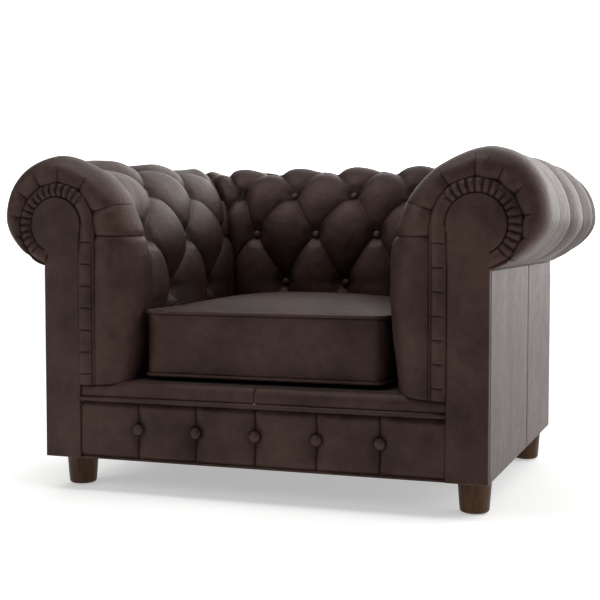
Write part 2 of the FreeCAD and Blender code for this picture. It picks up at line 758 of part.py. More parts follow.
def cushion_solid(inset):
    solid = box(
        -CUSHION_SIDE + inset,
        CUSHION_SIDE - inset,
        CUSHION_FACE + inset,
        CUSHION_REAR - inset,
        CUSHION_BOTTOM + inset,
        CUSHION_BOTTOM + CUSHION_HEIGHT - inset,
    )
    uprights = [edge for edge in solid.Edges if edge.BoundBox.ZLength > CUSHION_HEIGHT / 2]
    solid = solid.makeFillet(CUSHION_CORNER - inset, uprights)
    top = CUSHION_BOTTOM + CUSHION_HEIGHT - inset
    upper = [edge for edge in solid.Edges if edge.BoundBox.ZMin > top - 0.01]
    solid = solid.makeFillet(CUSHION_TOP_ROUND - min(inset, CUSHION_TOP_ROUND / 2), upper)
    bottom = CUSHION_BOTTOM + inset
    lower = [edge for edge in solid.Edges if edge.BoundBox.ZMax < bottom + 0.01]
    return solid.makeFillet(CUSHION_BOTTOM_ROUND - min(inset, CUSHION_BOTTOM_ROUND / 2), lower)


def cushion_ring(z):
    # A welt is a round cord along the rounded rectangle of the cushion's side.
    x = CUSHION_SIDE
    r = CUSHION_CORNER
    cut = r * (1 - math.sqrt(0.5))
    y0 = CUSHION_FACE
    y1 = CUSHION_REAR
    edges = [
        Part.makeLine(vec(0, y0, z), vec(x - r, y0, z)),
        Part.Arc(vec(x - r, y0, z), vec(x - cut, y0 + cut, z), vec(x, y0 + r, z)).toShape(),
        Part.makeLine(vec(x, y0 + r, z), vec(x, y1 - r, z)),
        Part.Arc(vec(x, y1 - r, z), vec(x - cut, y1 - cut, z), vec(x - r, y1, z)).toShape(),
        Part.makeLine(vec(x - r, y1, z), vec(r - x, y1, z)),
        Part.Arc(vec(r - x, y1, z), vec(cut - x, y1 - cut, z), vec(-x, y1 - r, z)).toShape(),
        Part.makeLine(vec(-x, y1 - r, z), vec(-x, y0 + r, z)),
        Part.Arc(vec(-x, y0 + r, z), vec(cut - x, y0 + cut, z), vec(r - x, y0, z)).toShape(),
        Part.makeLine(vec(r - x, y0, z), vec(0, y0, z)),
    ]
    circle = Part.makeCircle(CUSHION_WELT_RADIUS, vec(0, y0, z), vec(1, 0, 0))
    return Part.Wire(edges).makePipeShell([Part.Wire(circle)], True, False)


def cushion_welts():
    low = CUSHION_BOTTOM + CUSHION_BOTTOM_ROUND
    high = CUSHION_BOTTOM + CUSHION_HEIGHT - CUSHION_TOP_ROUND
    return Part.makeCompound([cushion_ring(low), cushion_ring(high)])


def zip_tape(clearance):
    half = ZIP_LENGTH / 2 + clearance
    width = ZIP_TAPE_WIDTH / 2 + clearance
    y0 = ZIP_FACE - ZIP_TAPE_THICKNESS
    return box(-half, half, y0, ZIP_FACE, ZIP_Z - width, ZIP_Z + width)


def zip_chain(length, clearance):
    width = ZIP_CHAIN_WIDTH / 2 + clearance
    rise = ZIP_CHAIN_RISE + clearance
    return box(-length / 2, length / 2, ZIP_FACE, ZIP_FACE + rise, ZIP_Z - width, ZIP_Z + width)


def zip_slider():
    # The zip is closed with its slider at the right-hand end.
    x1 = ZIP_LENGTH / 2
    y1 = ZIP_FACE + SOFT_CLEARANCE
    y2 = ZIP_FACE + ZIP_CHAIN_RISE + SOFT_CLEARANCE + SLIDER_WALL
    width = SLIDER_WIDTH / 2
    body = box(x1 - SLIDER_LENGTH, x1, y1, y2, ZIP_Z - width, ZIP_Z + width)
    return body.cut(zip_chain(FAR, SOFT_CLEARANCE))


# Everything, by the name of its node

def build():
    nodes = {}
    welt = lip_welt()
    all_dowels = dowels(DOWEL_RADIUS, DOWEL_LENGTH)
    dowel_holes = dowels(DOWEL_RADIUS + ROUND_CLEARANCE, DOWEL_LENGTH + ROUND_CLEARANCE)
    screws = block_screws(0.0)
    screw_holes = block_screws(ROUND_CLEARANCE)

    # Frame
    board = front_board().cut(dowel_holes)
    nodes["right_arm_front_board"] = board
    nodes["left_arm_front_board"] = mirror_left(board)
    nodes["front_rail"] = cut_all(front_rail(), [dowel_holes, screw_holes])
    nodes["back_rail"] = cut_all(back_rail(), [dowel_holes, screw_holes])
    nodes["side_rails"] = both_sides(cut_all(side_rail(), [dowel_holes, screw_holes]))
    nodes["rear_posts"] = both_sides(rear_post().cut(dowel_holes))
    nodes["arm_ribs"] = both_sides(Part.makeCompound(arm_ribs()))
    nodes["back_ribs"] = back_ribs()
    nodes["arm_top_rails"] = both_sides(arm_top_rail().cut(dowel_holes))
    nodes["back_top_rail"] = back_top_rail().cut(dowel_holes)
    nodes["arm_tack_rails"] = both_sides(arm_tack_rail())
    nodes["back_tack_rail"] = back_tack_rail()
    nodes["frame_dowels"] = all_dowels
    blocks = both_sides(Part.makeCompound([corner_block(False), corner_block(True)]))
    bolt_holes = at_each_foot(foot_bolt(ROUND_CLEARANCE))
    nut_holes = at_each_foot(tee_nut(ROUND_CLEARANCE))
    nodes["corner_blocks"] = cut_all(blocks, [screw_holes, bolt_holes, nut_holes])
    nodes["block_screws"] = screws

    # Seat platform
    springs = Part.makeCompound([zigzag(x0) for x0 in spring_columns()])
    nodes["seat_springs"] = springs
    nodes["spring_clips"] = clips(springs)
    nodes["seat_hessian"] = seat_sheet(HESSIAN_Z, HESSIAN_Z + HESSIAN)
    nodes["seat_deck_pad"] = seat_sheet(HESSIAN_Z + HESSIAN, DECK_TOP - LEATHER)
    nodes["seat_deck_cover"] = seat_sheet(DECK_TOP - LEATHER, DECK_TOP)
    boards = front_board_pair()
    lip_pad = lip_solid(LEATHER)
    nodes["seat_lip_pad"] = cut_all(lip_pad, [welt, boards])
    nodes["seat_lip_cover"] = cut_all(lip_solid(0.0).cut(lip_pad), [welt, boards])
    nodes["lip_welt"] = welt

    # Front base
    pockets = base_button_copies(base_pocket())
    border_back = COVER_SETBACK + LEATHER
    nodes["base_border_cover"] = base_border(COVER_SETBACK, border_back).cut(pockets)
    nodes["base_border_pad"] = cut_all(base_border(border_back, RAIL_FRONT), [pockets, boards])
    base_button = button(BASE_BUTTON_RADIUS, BASE_BUTTON_RISE, BUTTON_EDGE)
    nodes["base_buttons"] = base_button_copies(base_button)

    # Arms and back
    cover = arm_cover()
    pad = arm_pad()
    nodes["right_arm_cover"] = cover
    nodes["left_arm_cover"] = mirror_left(cover)
    nodes["right_arm_pad"] = pad
    nodes["left_arm_pad"] = mirror_left(pad)
    nodes["arm_hessians"] = both_sides(arm_hessian())
    nodes["inside_back_cover"] = back_shell(0.0, LEATHER).cut(BACK_POCKETS)
    nodes["back_pad"] = back_shell(LEATHER, LEATHER + PAD_THICKNESS).cut(BACK_POCKETS)
    nodes["back_hessian"] = back_shell(LEATHER + PAD_THICKNESS, CORE_INSET)
    stud = button(BUTTON_RADIUS, BUTTON_RISE, BUTTON_EDGE)
    arm_studs = Part.makeCompound(placed_copies(stud, ARM_BUTTONS))
    nodes["right_arm_buttons"] = arm_studs
    nodes["left_arm_buttons"] = mirror_left(arm_studs)
    nodes["back_buttons"] = Part.makeCompound(placed_copies(stud, BACK_BUTTONS))

    # Facings and outside panels
    nodes["right_facing_panel"] = facing()
    nodes["left_facing_panel"] = mirror_left(facing())
    nodes["right_pleated_band"] = band()
    nodes["left_pleated_band"] = mirror_left(band())
    rear_cover = MITRE + BODY_X - LEATHER
    board_x = BODY_X - LEATHER
    nodes["outside_arm_boards"] = both_sides(outside_arm(FRAME_X, board_x, FRAME_REAR))
    right_outside = outside_arm(board_x, BODY_X, rear_cover)
    nodes["right_outside_arm_cover"] = right_outside
    nodes["left_outside_arm_cover"] = mirror_left(right_outside)
    nodes["outside_back_board"] = outside_back(FRAME_REAR, rear_cover, board_x)
    nodes["outside_back_cover"] = outside_back(rear_cover, rear_cover + LEATHER, BODY_X)

    # Underside
    nodes["dust_cover"] = dust_cover()
    for name, (x, y) in foot_places().items():
        piece = foot()
        piece.translate(vec(x, y, 0))
        nodes[name + "_foot"] = piece
    nodes["foot_bolts"] = at_each_foot(foot_bolt(0.0))
    nodes["tee_nuts"] = at_each_foot(tee_nut(0.0).cut(foot_bolt(ROUND_CLEARANCE)))
    nodes["foot_glides"] = at_each_foot(glide())

    # Cushion
    outer = cushion_solid(0.0)
    lining = cushion_solid(LEATHER)
    foam = cushion_solid(LEATHER + CUSHION_WRAP)
    piping = cushion_welts()
    nodes["cushion_cover"] = cut_all(outer, [lining, piping, zip_tape(0.0)])
    nodes["cushion_wrap"] = cut_all(lining, [foam, piping])
    nodes["cushion_core"] = foam
    nodes["cushion_welts"] = piping
    nodes["cushion_zip"] = zip_tape(0.0).fuse(zip_chain(ZIP_LENGTH, 0.0))
    nodes["zip_slider"] = zip_slider()
    return nodes


def save(nodes):
    os.makedirs("parts", exist_ok=True)
    to_origin = vec(0, -OVERALL_DEPTH / 2, 0)
    for name, shape in nodes.items():
        placed = shape.copy()
        placed.translate(to_origin)
        placed.exportStep(os.path.join("parts", name + ".step"))
    print("saved", len(nodes), "nodes")


save(build())
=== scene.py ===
# %% [markdown]
# # A deep-buttoned leather armchair
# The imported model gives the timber, the boards, the feet and the plain solids of every soft part.
# This lesson dresses it: tufted arms and back, gathered fronts, a stuffed seat cushion, and leather that
# catches the light. The frame is loaded first, because every piece is placed by it.

# %% Load the frame
import json
import math
import bmesh
import bpy
from mathutils import Matrix, Vector, noise


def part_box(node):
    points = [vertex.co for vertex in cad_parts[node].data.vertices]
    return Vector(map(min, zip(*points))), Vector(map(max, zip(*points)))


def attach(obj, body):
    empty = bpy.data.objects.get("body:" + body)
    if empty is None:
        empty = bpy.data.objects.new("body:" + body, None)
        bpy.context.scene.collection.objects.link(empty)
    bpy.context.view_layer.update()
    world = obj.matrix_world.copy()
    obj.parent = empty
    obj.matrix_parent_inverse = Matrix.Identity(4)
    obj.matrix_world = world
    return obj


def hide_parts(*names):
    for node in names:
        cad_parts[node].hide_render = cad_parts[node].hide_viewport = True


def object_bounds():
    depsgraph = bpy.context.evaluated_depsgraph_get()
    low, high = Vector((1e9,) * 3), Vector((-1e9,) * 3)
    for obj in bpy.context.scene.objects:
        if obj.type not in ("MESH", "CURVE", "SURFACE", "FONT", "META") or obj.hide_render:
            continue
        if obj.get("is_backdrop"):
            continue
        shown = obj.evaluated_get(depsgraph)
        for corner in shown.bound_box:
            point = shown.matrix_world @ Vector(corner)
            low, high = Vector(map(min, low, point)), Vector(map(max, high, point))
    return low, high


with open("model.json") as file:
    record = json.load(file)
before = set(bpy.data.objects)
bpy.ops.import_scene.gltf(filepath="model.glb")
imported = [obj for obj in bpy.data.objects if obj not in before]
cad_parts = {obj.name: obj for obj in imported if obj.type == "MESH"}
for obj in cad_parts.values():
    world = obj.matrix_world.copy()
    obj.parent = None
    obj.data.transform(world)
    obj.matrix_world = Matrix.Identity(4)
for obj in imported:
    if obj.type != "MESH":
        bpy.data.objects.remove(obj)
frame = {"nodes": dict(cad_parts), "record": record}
CAD_LOW, CAD_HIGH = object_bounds()
print("frame box", [round(c, 4) for c in CAD_LOW], [round(c, 4) for c in CAD_HIGH])

# %% [markdown]
# Lengths here are metres. A maker measures this chair back from its front, so every piece is drawn with
# the plane of the arm fronts at y = 0 and is moved to its place when it is finished. The sizes that the
# frame can tell are read from it, and the rest repeat the driving dimensions of the chair.

# %% Main sizes
FRONT = CAD_LOW.y
side_low, side_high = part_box("right_outside_arm_cover")
BODY_X = side_high.x
SEAM_Z = side_high.z
FOOT_TOP = side_low.z
REAR_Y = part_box("outside_back_cover")[1].y - FRONT
HALF_WIDTH = CAD_HIGH.x
HEIGHT = CAD_HIGH.z
ROLL_RADIUS = 0.137
ROLL_X = HALF_WIDTH - ROLL_RADIUS
ROLL_Z = HEIGHT - ROLL_RADIUS
UNDER_RADIUS = HALF_WIDTH - BODY_X
UNDER_FLAT = 0.009
ARM_INNER = 0.2775
BACK_INNER = 0.287
MITRE = REAR_Y - BODY_X
DECK_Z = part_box("seat_deck_cover")[1].z
FULL_Z = DECK_Z + 0.160
FLARE_RADIUS = 1.5
BLEND_ANGLE = math.radians(135)
print("body half width", round(BODY_X, 4), "seam height", round(SEAM_Z, 4), "mitre", round(MITRE, 4))

# %% [markdown]
# ## The camera
# The photograph was taken from the right of the chair's middle, a little below the height of its back,
# with a fairly long lens. A long lens keeps the arms nearly the same size, so the lens matters as much as
# the place.

# %% Camera
CAMERA_PLACE = Vector((0.9273, -2.3125, 0.5593))
CAMERA_AIM = Vector((-0.3354, 0.9404, -0.0555))
CAMERA_LENS = 73.61

camera_data = bpy.data.cameras.new("camera")
camera_data.lens = CAMERA_LENS
camera_data.sensor_width = 36.0
camera = bpy.data.objects.new("camera", camera_data)
camera.location = CAMERA_PLACE + Vector((0, FRONT, 0))
camera.rotation_euler = CAMERA_AIM.to_track_quat("-Z", "Y").to_euler()
bpy.context.scene.collection.objects.link(camera)
bpy.context.scene.camera = camera
print("camera at", [round(c, 3) for c in camera.location])

# %% [markdown]
# ## The studio
# The chair stands on a pale floor in front of a bright wall. Dark leather shows its form mostly by what it
# reflects, so the world is bright behind the chair and dimmer in front of it, and a broad soft lamp
# overhead shapes the puffs.

# %% Floor
FLOOR_HALF = 14.0
FLOOR_PAINT = (0.88, 0.88, 0.875, 1)
FLOOR_GLOW = 0.40


def studio_floor():
    bm = bmesh.new()
    bmesh.ops.create_grid(bm, x_segments=1, y_segments=1, size=FLOOR_HALF)
    mesh = bpy.data.meshes.new("floor")
    bm.to_mesh(mesh)
    bm.free()
    floor = bpy.data.objects.new("floor", mesh)
    bpy.context.scene.collection.objects.link(floor)
    material = bpy.data.materials.new("floor_paint")
    material.use_nodes = True
    shader = material.node_tree.nodes["Principled BSDF"]
    shader.inputs["Base Color"].default_value = FLOOR_PAINT
    shader.inputs["Roughness"].default_value = 0.75
    shader.inputs["Emission Color"].default_value = (1.0, 1.0, 1.0, 1)
    shader.inputs["Emission Strength"].default_value = FLOOR_GLOW
    mesh.materials.append(material)
    floor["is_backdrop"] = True
    print("floor", 2 * FLOOR_HALF, "m square")


studio_floor()

# %% World
BRIGHT_SIDE = (0.60, 0.78, -0.18)
BRIGHT_FROM = -0.08
BRIGHT_TO = 0.85
BRIGHT = 3.05
DIM = 0.13


def studio_world():
    world = bpy.data.worlds.new("studio")
    bpy.context.scene.world = world
    world.use_nodes = True
    tree = world.node_tree
    coords = tree.nodes.new("ShaderNodeTexCoord")
    facing = tree.nodes.new("ShaderNodeVectorMath")
    facing.operation = "DOT_PRODUCT"
    facing.inputs[1].default_value = BRIGHT_SIDE
    fade = tree.nodes.new("ShaderNodeMapRange")
    fade.interpolation_type = "SMOOTHSTEP"
    fade.inputs["From Min"].default_value = BRIGHT_FROM
    fade.inputs["From Max"].default_value = BRIGHT_TO
    fade.inputs["To Min"].default_value = DIM
    fade.inputs["To Max"].default_value = BRIGHT
    tree.links.new(coords.outputs["Generated"], facing.inputs[0])
    tree.links.new(facing.outputs["Value"], fade.inputs["Value"])
    tree.links.new(fade.outputs["Result"], tree.nodes["Background"].inputs["Strength"])
    tree.nodes["Background"].inputs["Color"].default_value = (1.0, 0.995, 0.985, 1)


bpy.context.scene.view_settings.view_transform = "Standard"
studio_world()
print("world from", DIM, "to", BRIGHT)

# %% Lamps
LAMP_AIM = Vector((0, 0, 0.4))
LAMPS = (
    ("overhead", (-0.5, -0.5, 2.7), (1.6, 1.2), 34),
    ("front_left", (-2.4, -2.8, 1.7), (1.2, 1.2), 28),
)

for name, place, size, power in LAMPS:
    data = bpy.data.lights.new(name, "AREA")
    data.shape = "RECTANGLE"
    data.size, data.size_y = size
    data.energy = power
    lamp = bpy.data.objects.new(name, data)
    lamp.location = place
    lamp.rotation_euler = (LAMP_AIM - Vector(place)).to_track_quat("-Z", "Y").to_euler()
    bpy.context.scene.collection.objects.link(lamp)
    print(name, "lamp,", power, "W")

# %% [markdown]
# ## Leather
# Aged aniline leather has four scales of detail: cloudy tone, small stains, long pull wrinkles and a fine
# pebble grain. Each is a noise or a cell pattern on object coordinates, so nothing slides when a part moves.
# The gloss is tinted, because light that has passed a little way into a brown hide comes back warm.
# Where a hide is tufted or gathered, the mesh carries an attribute named fold: two signed distances to the
# nearest creases and the height of the surface. The material dents the thin crease from them and paints
# shade along it, which a mesh alone would need millions of faces for. It also paints shade into the low
# places and paints light on the high places.

# %% Node helpers
def node(tree, kind, inputs=None, **settings):
    made = tree.nodes.new(kind)
    for name, value in settings.items():
        setattr(made, name, value)
    for name, value in (inputs or {}).items():
        feed(tree, value, made.inputs[name])
    return made


def feed(tree, value, socket):
    if isinstance(value, bpy.types.NodeSocket):
        tree.links.new(value, socket)
    else:
        socket.default_value = value


def maths(tree, operation, *values):
    made = node(tree, "ShaderNodeMath", operation=operation)
    for socket, value in zip(made.inputs, values):
        feed(tree, value, socket)
    return made.outputs[0]


def spread(tree, value, low, high, to_low=0.0, to_high=1.0):
    ends = {"From Min": low, "From Max": high, "To Min": to_low, "To Max": to_high}
    return node(tree, "ShaderNodeMapRange", {"Value": value} | ends).outputs["Result"]


def cloudy(tree, place, scale, **more):
    return node(tree, "ShaderNodeTexNoise", {"Vector": place, "Scale": scale} | more).outputs[0]


def mix_colour(tree, share, first, second, blend_type="MIX"):
    made = node(tree, "ShaderNodeMix", data_type="RGBA", blend_type=blend_type)
    for index, value in ((0, share), (6, first), (7, second)):
        feed(tree, value, made.inputs[index])
    return made.outputs[2]


def darkened(tree, colour, tint, share=1.0):
    grey = node(tree, "ShaderNodeCombineColor", {"Red": tint, "Green": tint, "Blue": tint})
    return mix_colour(tree, share, colour, grey.outputs[0], "MULTIPLY")


def bump(tree, height, distance, strength=1.0, below=None):
    made = node(tree, "ShaderNodeBump", {"Height": height, "Distance": distance, "Strength": strength})
    if below is not None:
        tree.links.new(below, made.inputs["Normal"])
    return made.outputs["Normal"]


def new_material(name):
    material = bpy.data.materials.new(name)
    material.use_nodes = True
    tree = material.node_tree
    place = node(tree, "ShaderNodeTexCoord").outputs["Object"]
    return material, tree, tree.nodes["Principled BSDF"], place


def gloss(shader, level, tint):
    shader.inputs["Specular IOR Level"].default_value = level
    shader.inputs["Specular Tint"].default_value = tint + (1,)


# %% Creases of a hide and their painted shade
CREASE_WIDTH = 0.0024
SHADE_WIDTH = 0.0036
SHADE_TONE = 0.28
LOW_PAINTED_SHADE = 0.42
HIGH_PAINTED_LIGHT = 1.08


def creases(tree, colour, below):
    """Dent a hide along its marked folds, paint shade along them and in low places, paint light on high
    places.
    """
    fold = node(tree, "ShaderNodeAttribute", attribute_name="fold")
    parts = node(tree, "ShaderNodeSeparateXYZ", {"Vector": fold.outputs["Vector"]})
    first = maths(tree, "ABSOLUTE", parts.outputs["X"])
    second = maths(tree, "ABSOLUTE", parts.outputs["Y"])
    nearest = maths(tree, "MINIMUM", first, second)
    below = bump(tree, spread(tree, nearest, 0.0, CREASE_WIDTH), 0.0020, 0.9, below)
    # Painted shade along the creases, then painted shade in low places and painted light on high places.
    shade = spread(tree, nearest, 0.0, SHADE_WIDTH, SHADE_TONE, 1.0)
    high = spread(tree, parts.outputs["Z"], 0.05, 0.85, LOW_PAINTED_SHADE, HIGH_PAINTED_LIGHT)
    return darkened(tree, colour, maths(tree, "MULTIPLY", shade, high)), below


# %% Leather material
CLOUD_SCALE = 8.0
STAIN_SCALE = 42.0
WRINKLE_SCALE = 48.0
PEBBLE_SCALE = 430.0
PORE_SCALE = 1100.0
LEATHER_GLOSS = 0.27
LEATHER_TINT = (1.0, 0.70, 0.60)


def leather(name, dark, light, roughness=0.43, creased=False, wrinkled=0.65):
    material, tree, shader, place = new_material(name)
    cloud = cloudy(tree, place, CLOUD_SCALE, Detail=6.0, Roughness=0.62)
    stain = cloudy(tree, place, STAIN_SCALE, Detail=5.0, Roughness=0.7)
    most = spread(tree, cloud, 0.36, 0.66, 0, 0.66)
    tone = maths(tree, "ADD", most, spread(tree, stain, 0.36, 0.70, 0, 0.34))
    colour = mix_colour(tree, tone, dark + (1,), light + (1,))

    wrinkle = cloudy(tree, place, WRINKLE_SCALE, Detail=4.0, Roughness=0.55, Distortion=0.9)
    pebble = node(tree, "ShaderNodeTexVoronoi", {"Vector": place, "Scale": PEBBLE_SCALE},
                  feature="DISTANCE_TO_EDGE")
    cells = spread(tree, pebble.outputs["Distance"], 0.0, 0.22)
    pores = cloudy(tree, place, PORE_SCALE, Detail=2.0)

    below = bump(tree, wrinkle, 0.0020, wrinkled)
    if creased:
        colour, below = creases(tree, colour, below)
    below = bump(tree, cells, 0.00035, 0.5, below)
    below = bump(tree, pores, 0.00018, 0.5, below)
    rough = spread(tree, stain, 0.3, 0.8, roughness - 0.05, roughness + 0.07)
    rough = maths(tree, "ADD", rough, spread(tree, cells, 0.0, 1.0, 0.06, 0.0))
    feed(tree, colour, shader.inputs["Base Color"])
    feed(tree, rough, shader.inputs["Roughness"])
    feed(tree, below, shader.inputs["Normal"])
    gloss(shader, LEATHER_GLOSS, LEATHER_TINT)
    print("leather", name)
    return material


HIDE_DARK = (0.0100, 0.0040, 0.0030)
HIDE_LIGHT = (0.0480, 0.0270, 0.0225)
tufted_leather = leather("tufted_hide", HIDE_DARK, HIDE_LIGHT, creased=True)
plain_leather = leather("plain_hide", HIDE_DARK, HIDE_LIGHT)
panel_leather = leather("panel_hide", HIDE_DARK, HIDE_LIGHT, creased=True, wrinkled=0.18)
# The button hide is paler than the rest of the hide: a painted highlight for the light that the small domes
# catch.
button_leather = leather("button_hide", (0.020, 0.011, 0.009), (0.055, 0.034, 0.029), roughness=0.34)
piping_leather = leather("piping_hide", (0.014, 0.007, 0.0055), (0.040, 0.022, 0.018), roughness=0.38)

# %% [markdown]
# ## Turning a bmesh into a piece
# Each piece is drawn in the maker's measure, with the arm fronts at y = 0, so one helper moves it to the
# row's frame, smooths it, writes its fold attribute, gives it its material and says which body carries it.
# The object itself stays at the origin, because its place is in its mesh. Most covers are a flat grid that
# is laid over a shape by a formula and then given the thickness of a hide.

# %% Piece helpers
def make_piece(name, bm, material, body="chair", slot="leather", stands_for=(), folds=None):
    bmesh.ops.translate(bm, vec=(0, FRONT, 0), verts=bm.verts[:])
    mesh = bpy.data.meshes.new(name)
    bm.to_mesh(mesh)
    bm.free()
    if folds is not None:
        # The fold attribute drives the painted crease shade, and the painted shade and light by height, in
        # the hide's material.
        attribute = mesh.attributes.new("fold", "FLOAT_VECTOR", "POINT")
        attribute.data.foreach_set("vector", [c for fold in folds for c in fold])
    mesh.materials.append(material)
    mesh.shade_smooth()
    piece = bpy.data.objects.new(name, mesh)
    bpy.context.scene.collection.objects.link(piece)
    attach(piece, body)
    if stands_for:
        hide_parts(*stands_for)
    print(name, len(mesh.polygons), "faces")
    return piece


def mirrored(bm, side):
    """Turn a right-hand piece into a left-hand one when side is -1."""
    if side < 0:
        bmesh.ops.scale(bm, vec=(-1, 1, 1), verts=bm.verts[:])
        bmesh.ops.reverse_faces(bm, faces=bm.faces[:])


def hide(name, columns, rows, place, thickness, stands_for, side=1, turned=False, material=tufted_leather):
    """A cover on a flat grid: place() turns each grid coordinate from 0 to 1 into a point and its folds."""
    bm = bmesh.new()
    bmesh.ops.create_grid(bm, x_segments=columns, y_segments=rows, size=1.0)
    folds = []
    for vert in bm.verts:
        vert.co, fold = place((vert.co.x + 1) / 2, (vert.co.y + 1) / 2)
        folds.append(fold)
    mirrored(bm, side)
    if turned:
        bmesh.ops.reverse_faces(bm, faces=bm.faces[:])
    piece = make_piece(name, bm, material, folds=folds, stands_for=stands_for)
    wall = piece.modifiers.new("wall", "SOLIDIFY")
    wall.thickness = thickness
    wall.offset = -1.0
    return piece


# %% Blending
def ease(low, high, value):
    """Rise smoothly from 0 at low to 1 at high; low may be the larger one, and then it falls."""
    t = min(1.0, max(0.0, (value - low) / (high - low)))
    return t * t * (3 - 2 * t)


def blend(first, second, share):
    return first + (second - first) * share


def bell(value, width):
    return math.exp(-(value / width) ** 2)


def degrees_of(across, up):
    return math.degrees(math.atan2(up, across))


# %% [markdown]
# ## The section of an arm
# Cut across, an arm leans in a little from the deck, rises straight, bends outwards in a wide arc, goes
# over the roll and tucks in to the seam of the outside panel. Five stretches, each an arc or a line, describe
# it, and a station from 0 to 5 says where on it a point lies. The back has the same section, turned a
# quarter, with its inner face a little further out, so equal stations of both meet at the corner.

# %% Section
def blend_arc(inner):
    reach = ROLL_X + ROLL_RADIUS * math.cos(BLEND_ANGLE) - inner
    radius = reach / (1 + math.cos(BLEND_ANGLE))
    step = ROLL_RADIUS - radius
    return ROLL_X + step * math.cos(BLEND_ANGLE), ROLL_Z + step * math.sin(BLEND_ANGLE), radius


def stretch_lengths(inner):
    blend_z, blend_radius = blend_arc(inner)[1:]
    return [
        FLARE_RADIUS * math.asin((FULL_Z - DECK_Z) / FLARE_RADIUS),
        blend_z - FULL_Z,
        blend_radius * (math.pi - BLEND_ANGLE),
        ROLL_RADIUS * BLEND_ANGLE,
        UNDER_RADIUS * math.pi / 2,
    ]


ARM_LENGTHS = stretch_lengths(ARM_INNER)
BACK_LENGTHS = stretch_lengths(BACK_INNER)


def station_at(lengths, arc):
    for index, length in enumerate(lengths):
        if arc <= length or index == 4:
            return index + min(1.0, arc / length)
        arc -= length


def arc_at(lengths, station):
    index = min(4, int(station))
    return sum(lengths[:index]) + lengths[index] * (station - index)


def section(inner, station):
    """Place (x, z) and outward direction (x, z) at a station."""
    index = min(4, int(station))
    share = station - index
    blend_x, blend_z, blend_radius = blend_arc(inner)
    if index == 0:
        angle = math.pi + math.asin((FULL_Z - DECK_Z) / FLARE_RADIUS) * (1 - share)
        x, z, radius = inner + FLARE_RADIUS, FULL_Z, FLARE_RADIUS
    elif index == 1:
        return inner, blend(FULL_Z, blend_z, share), -1.0, 0.0
    elif index == 2:
        angle = blend(math.pi, BLEND_ANGLE, share)
        x, z, radius = blend_x, blend_z, blend_radius
    elif index == 3:
        angle = BLEND_ANGLE * (1 - share)
        x, z, radius = ROLL_X, ROLL_Z, ROLL_RADIUS
    else:
        angle = -math.pi / 2 * share
        x, z = BODY_X, ROLL_Z
        radius = UNDER_RADIUS - UNDER_FLAT * math.sin(math.pi * share) ** 2
    across, up = math.cos(angle), math.sin(angle)
    return x + radius * across, z + radius * up, across, up


print("length over an arm", round(sum(ARM_LENGTHS), 3), "over the back", round(sum(BACK_LENGTHS), 3))

# %% [markdown]
# ## Deep buttoning
# The buttons stand in four rows, each shifted by half a step, so folds from button to button cut the hide
# into diamonds. A fold deepens towards its buttons and the stuffing swells between the folds. Of the two
# folds that cross at a button, one is creased: the puff beside it laps over it, so it is steep on that side.
# Counting i along the arm and r down from the crest, every button has an even i + r, and the folds are the
# lines where half of i + r or half of i - r is whole. One formula in those two numbers makes every puff.
# Below the lowest row the folds hang straight down, and beyond the crest they run straight to the seam.

# %% Rows of buttons
ROW_ARCS = (0.560, 0.443, 0.318, 0.193)
ROW_STEP = 0.11
LAST_ROW = len(ROW_ARCS) - 1
SEAM_ARC = 0.311
ARM_FIRST = 0.127
ARM_STEP = 0.110
BACK_STEP = 0.080


def row_at(arc):
    """Count rows down from the crest, in proportion between them, for a length from the deck."""
    index = 0 if arc >= ROW_ARCS[1] else 1 if arc >= ROW_ARCS[2] else 2
    return index + (ROW_ARCS[index] - arc) / (ROW_ARCS[index] - ROW_ARCS[index + 1])


print("button rows at", ROW_ARCS)

# %% One diamond
TUFT_DEPTH = 0.035
TUFT_LIFT = -0.003
FOLD_POWER = 0.62
CHANNEL_POWER = 0.7
CREASED_FOLD = 0.26
SOFT_FOLD = 0.46
FOLD_BOW = 0.055
OVERLAP = 0.78
DIMPLE_RADIUS = 0.036
NO_FOLD = 0.05


def offset_of(height):
    return TUFT_LIFT - TUFT_DEPTH * (1 - height)


def swell(count, power):
    return abs(math.sin(math.pi * count)) ** power


def overlap(count, lead):
    """A creased fold is steep on the side of the puff that laps over it, and gentle on the other."""
    share = count % 1 if lead > 0 else -count % 1
    return math.sin(math.pi * share ** OVERLAP) ** FOLD_POWER


def diamond(i, r, step, lead):
    """Height of a puff, and its signed distances to the creased and the soft fold."""
    creased, soft = (i + lead * r) / 2, (i - lead * r) / 2
    creased += lead * FOLD_BOW * abs(math.sin(math.pi * soft))
    over, along = overlap(creased, lead), swell(soft, FOLD_POWER)
    height = SOFT_FOLD * over + CREASED_FOLD * along + (1 - SOFT_FOLD - CREASED_FOLD) * over * along
    button_i = round(creased) + round(soft)
    button_r = lead * (round(creased) - round(soft))
    away = math.hypot((i - button_i) * step, (r - button_r) * ROW_STEP)
    height *= ease(0.003, DIMPLE_RADIUS, away) ** 0.7
    width = 2 * step * ROW_STEP / math.hypot(step, ROW_STEP) / math.pi
    return height, math.sin(math.pi * creased) * width, math.sin(math.pi * soft) * width


# %% The tufted surface
WANDER = 0.09
HANG_DEPTH = 0.64
CREST_DEPTH = 0.80
SEAM_DEPTH = 0.42
PUFF_UNEVEN = 0.07
FAINT_FOLD = 0.0012
FAINTER_FOLD = 0.004
CREASE_HEIGHT = 0.22


def uneven(i, r, scale, seed):
    return noise.noise(Vector((i * scale, r * scale, seed)))


def upright_fold(count, step):
    return math.sin(math.pi * count / 2) * step * 2 / math.pi


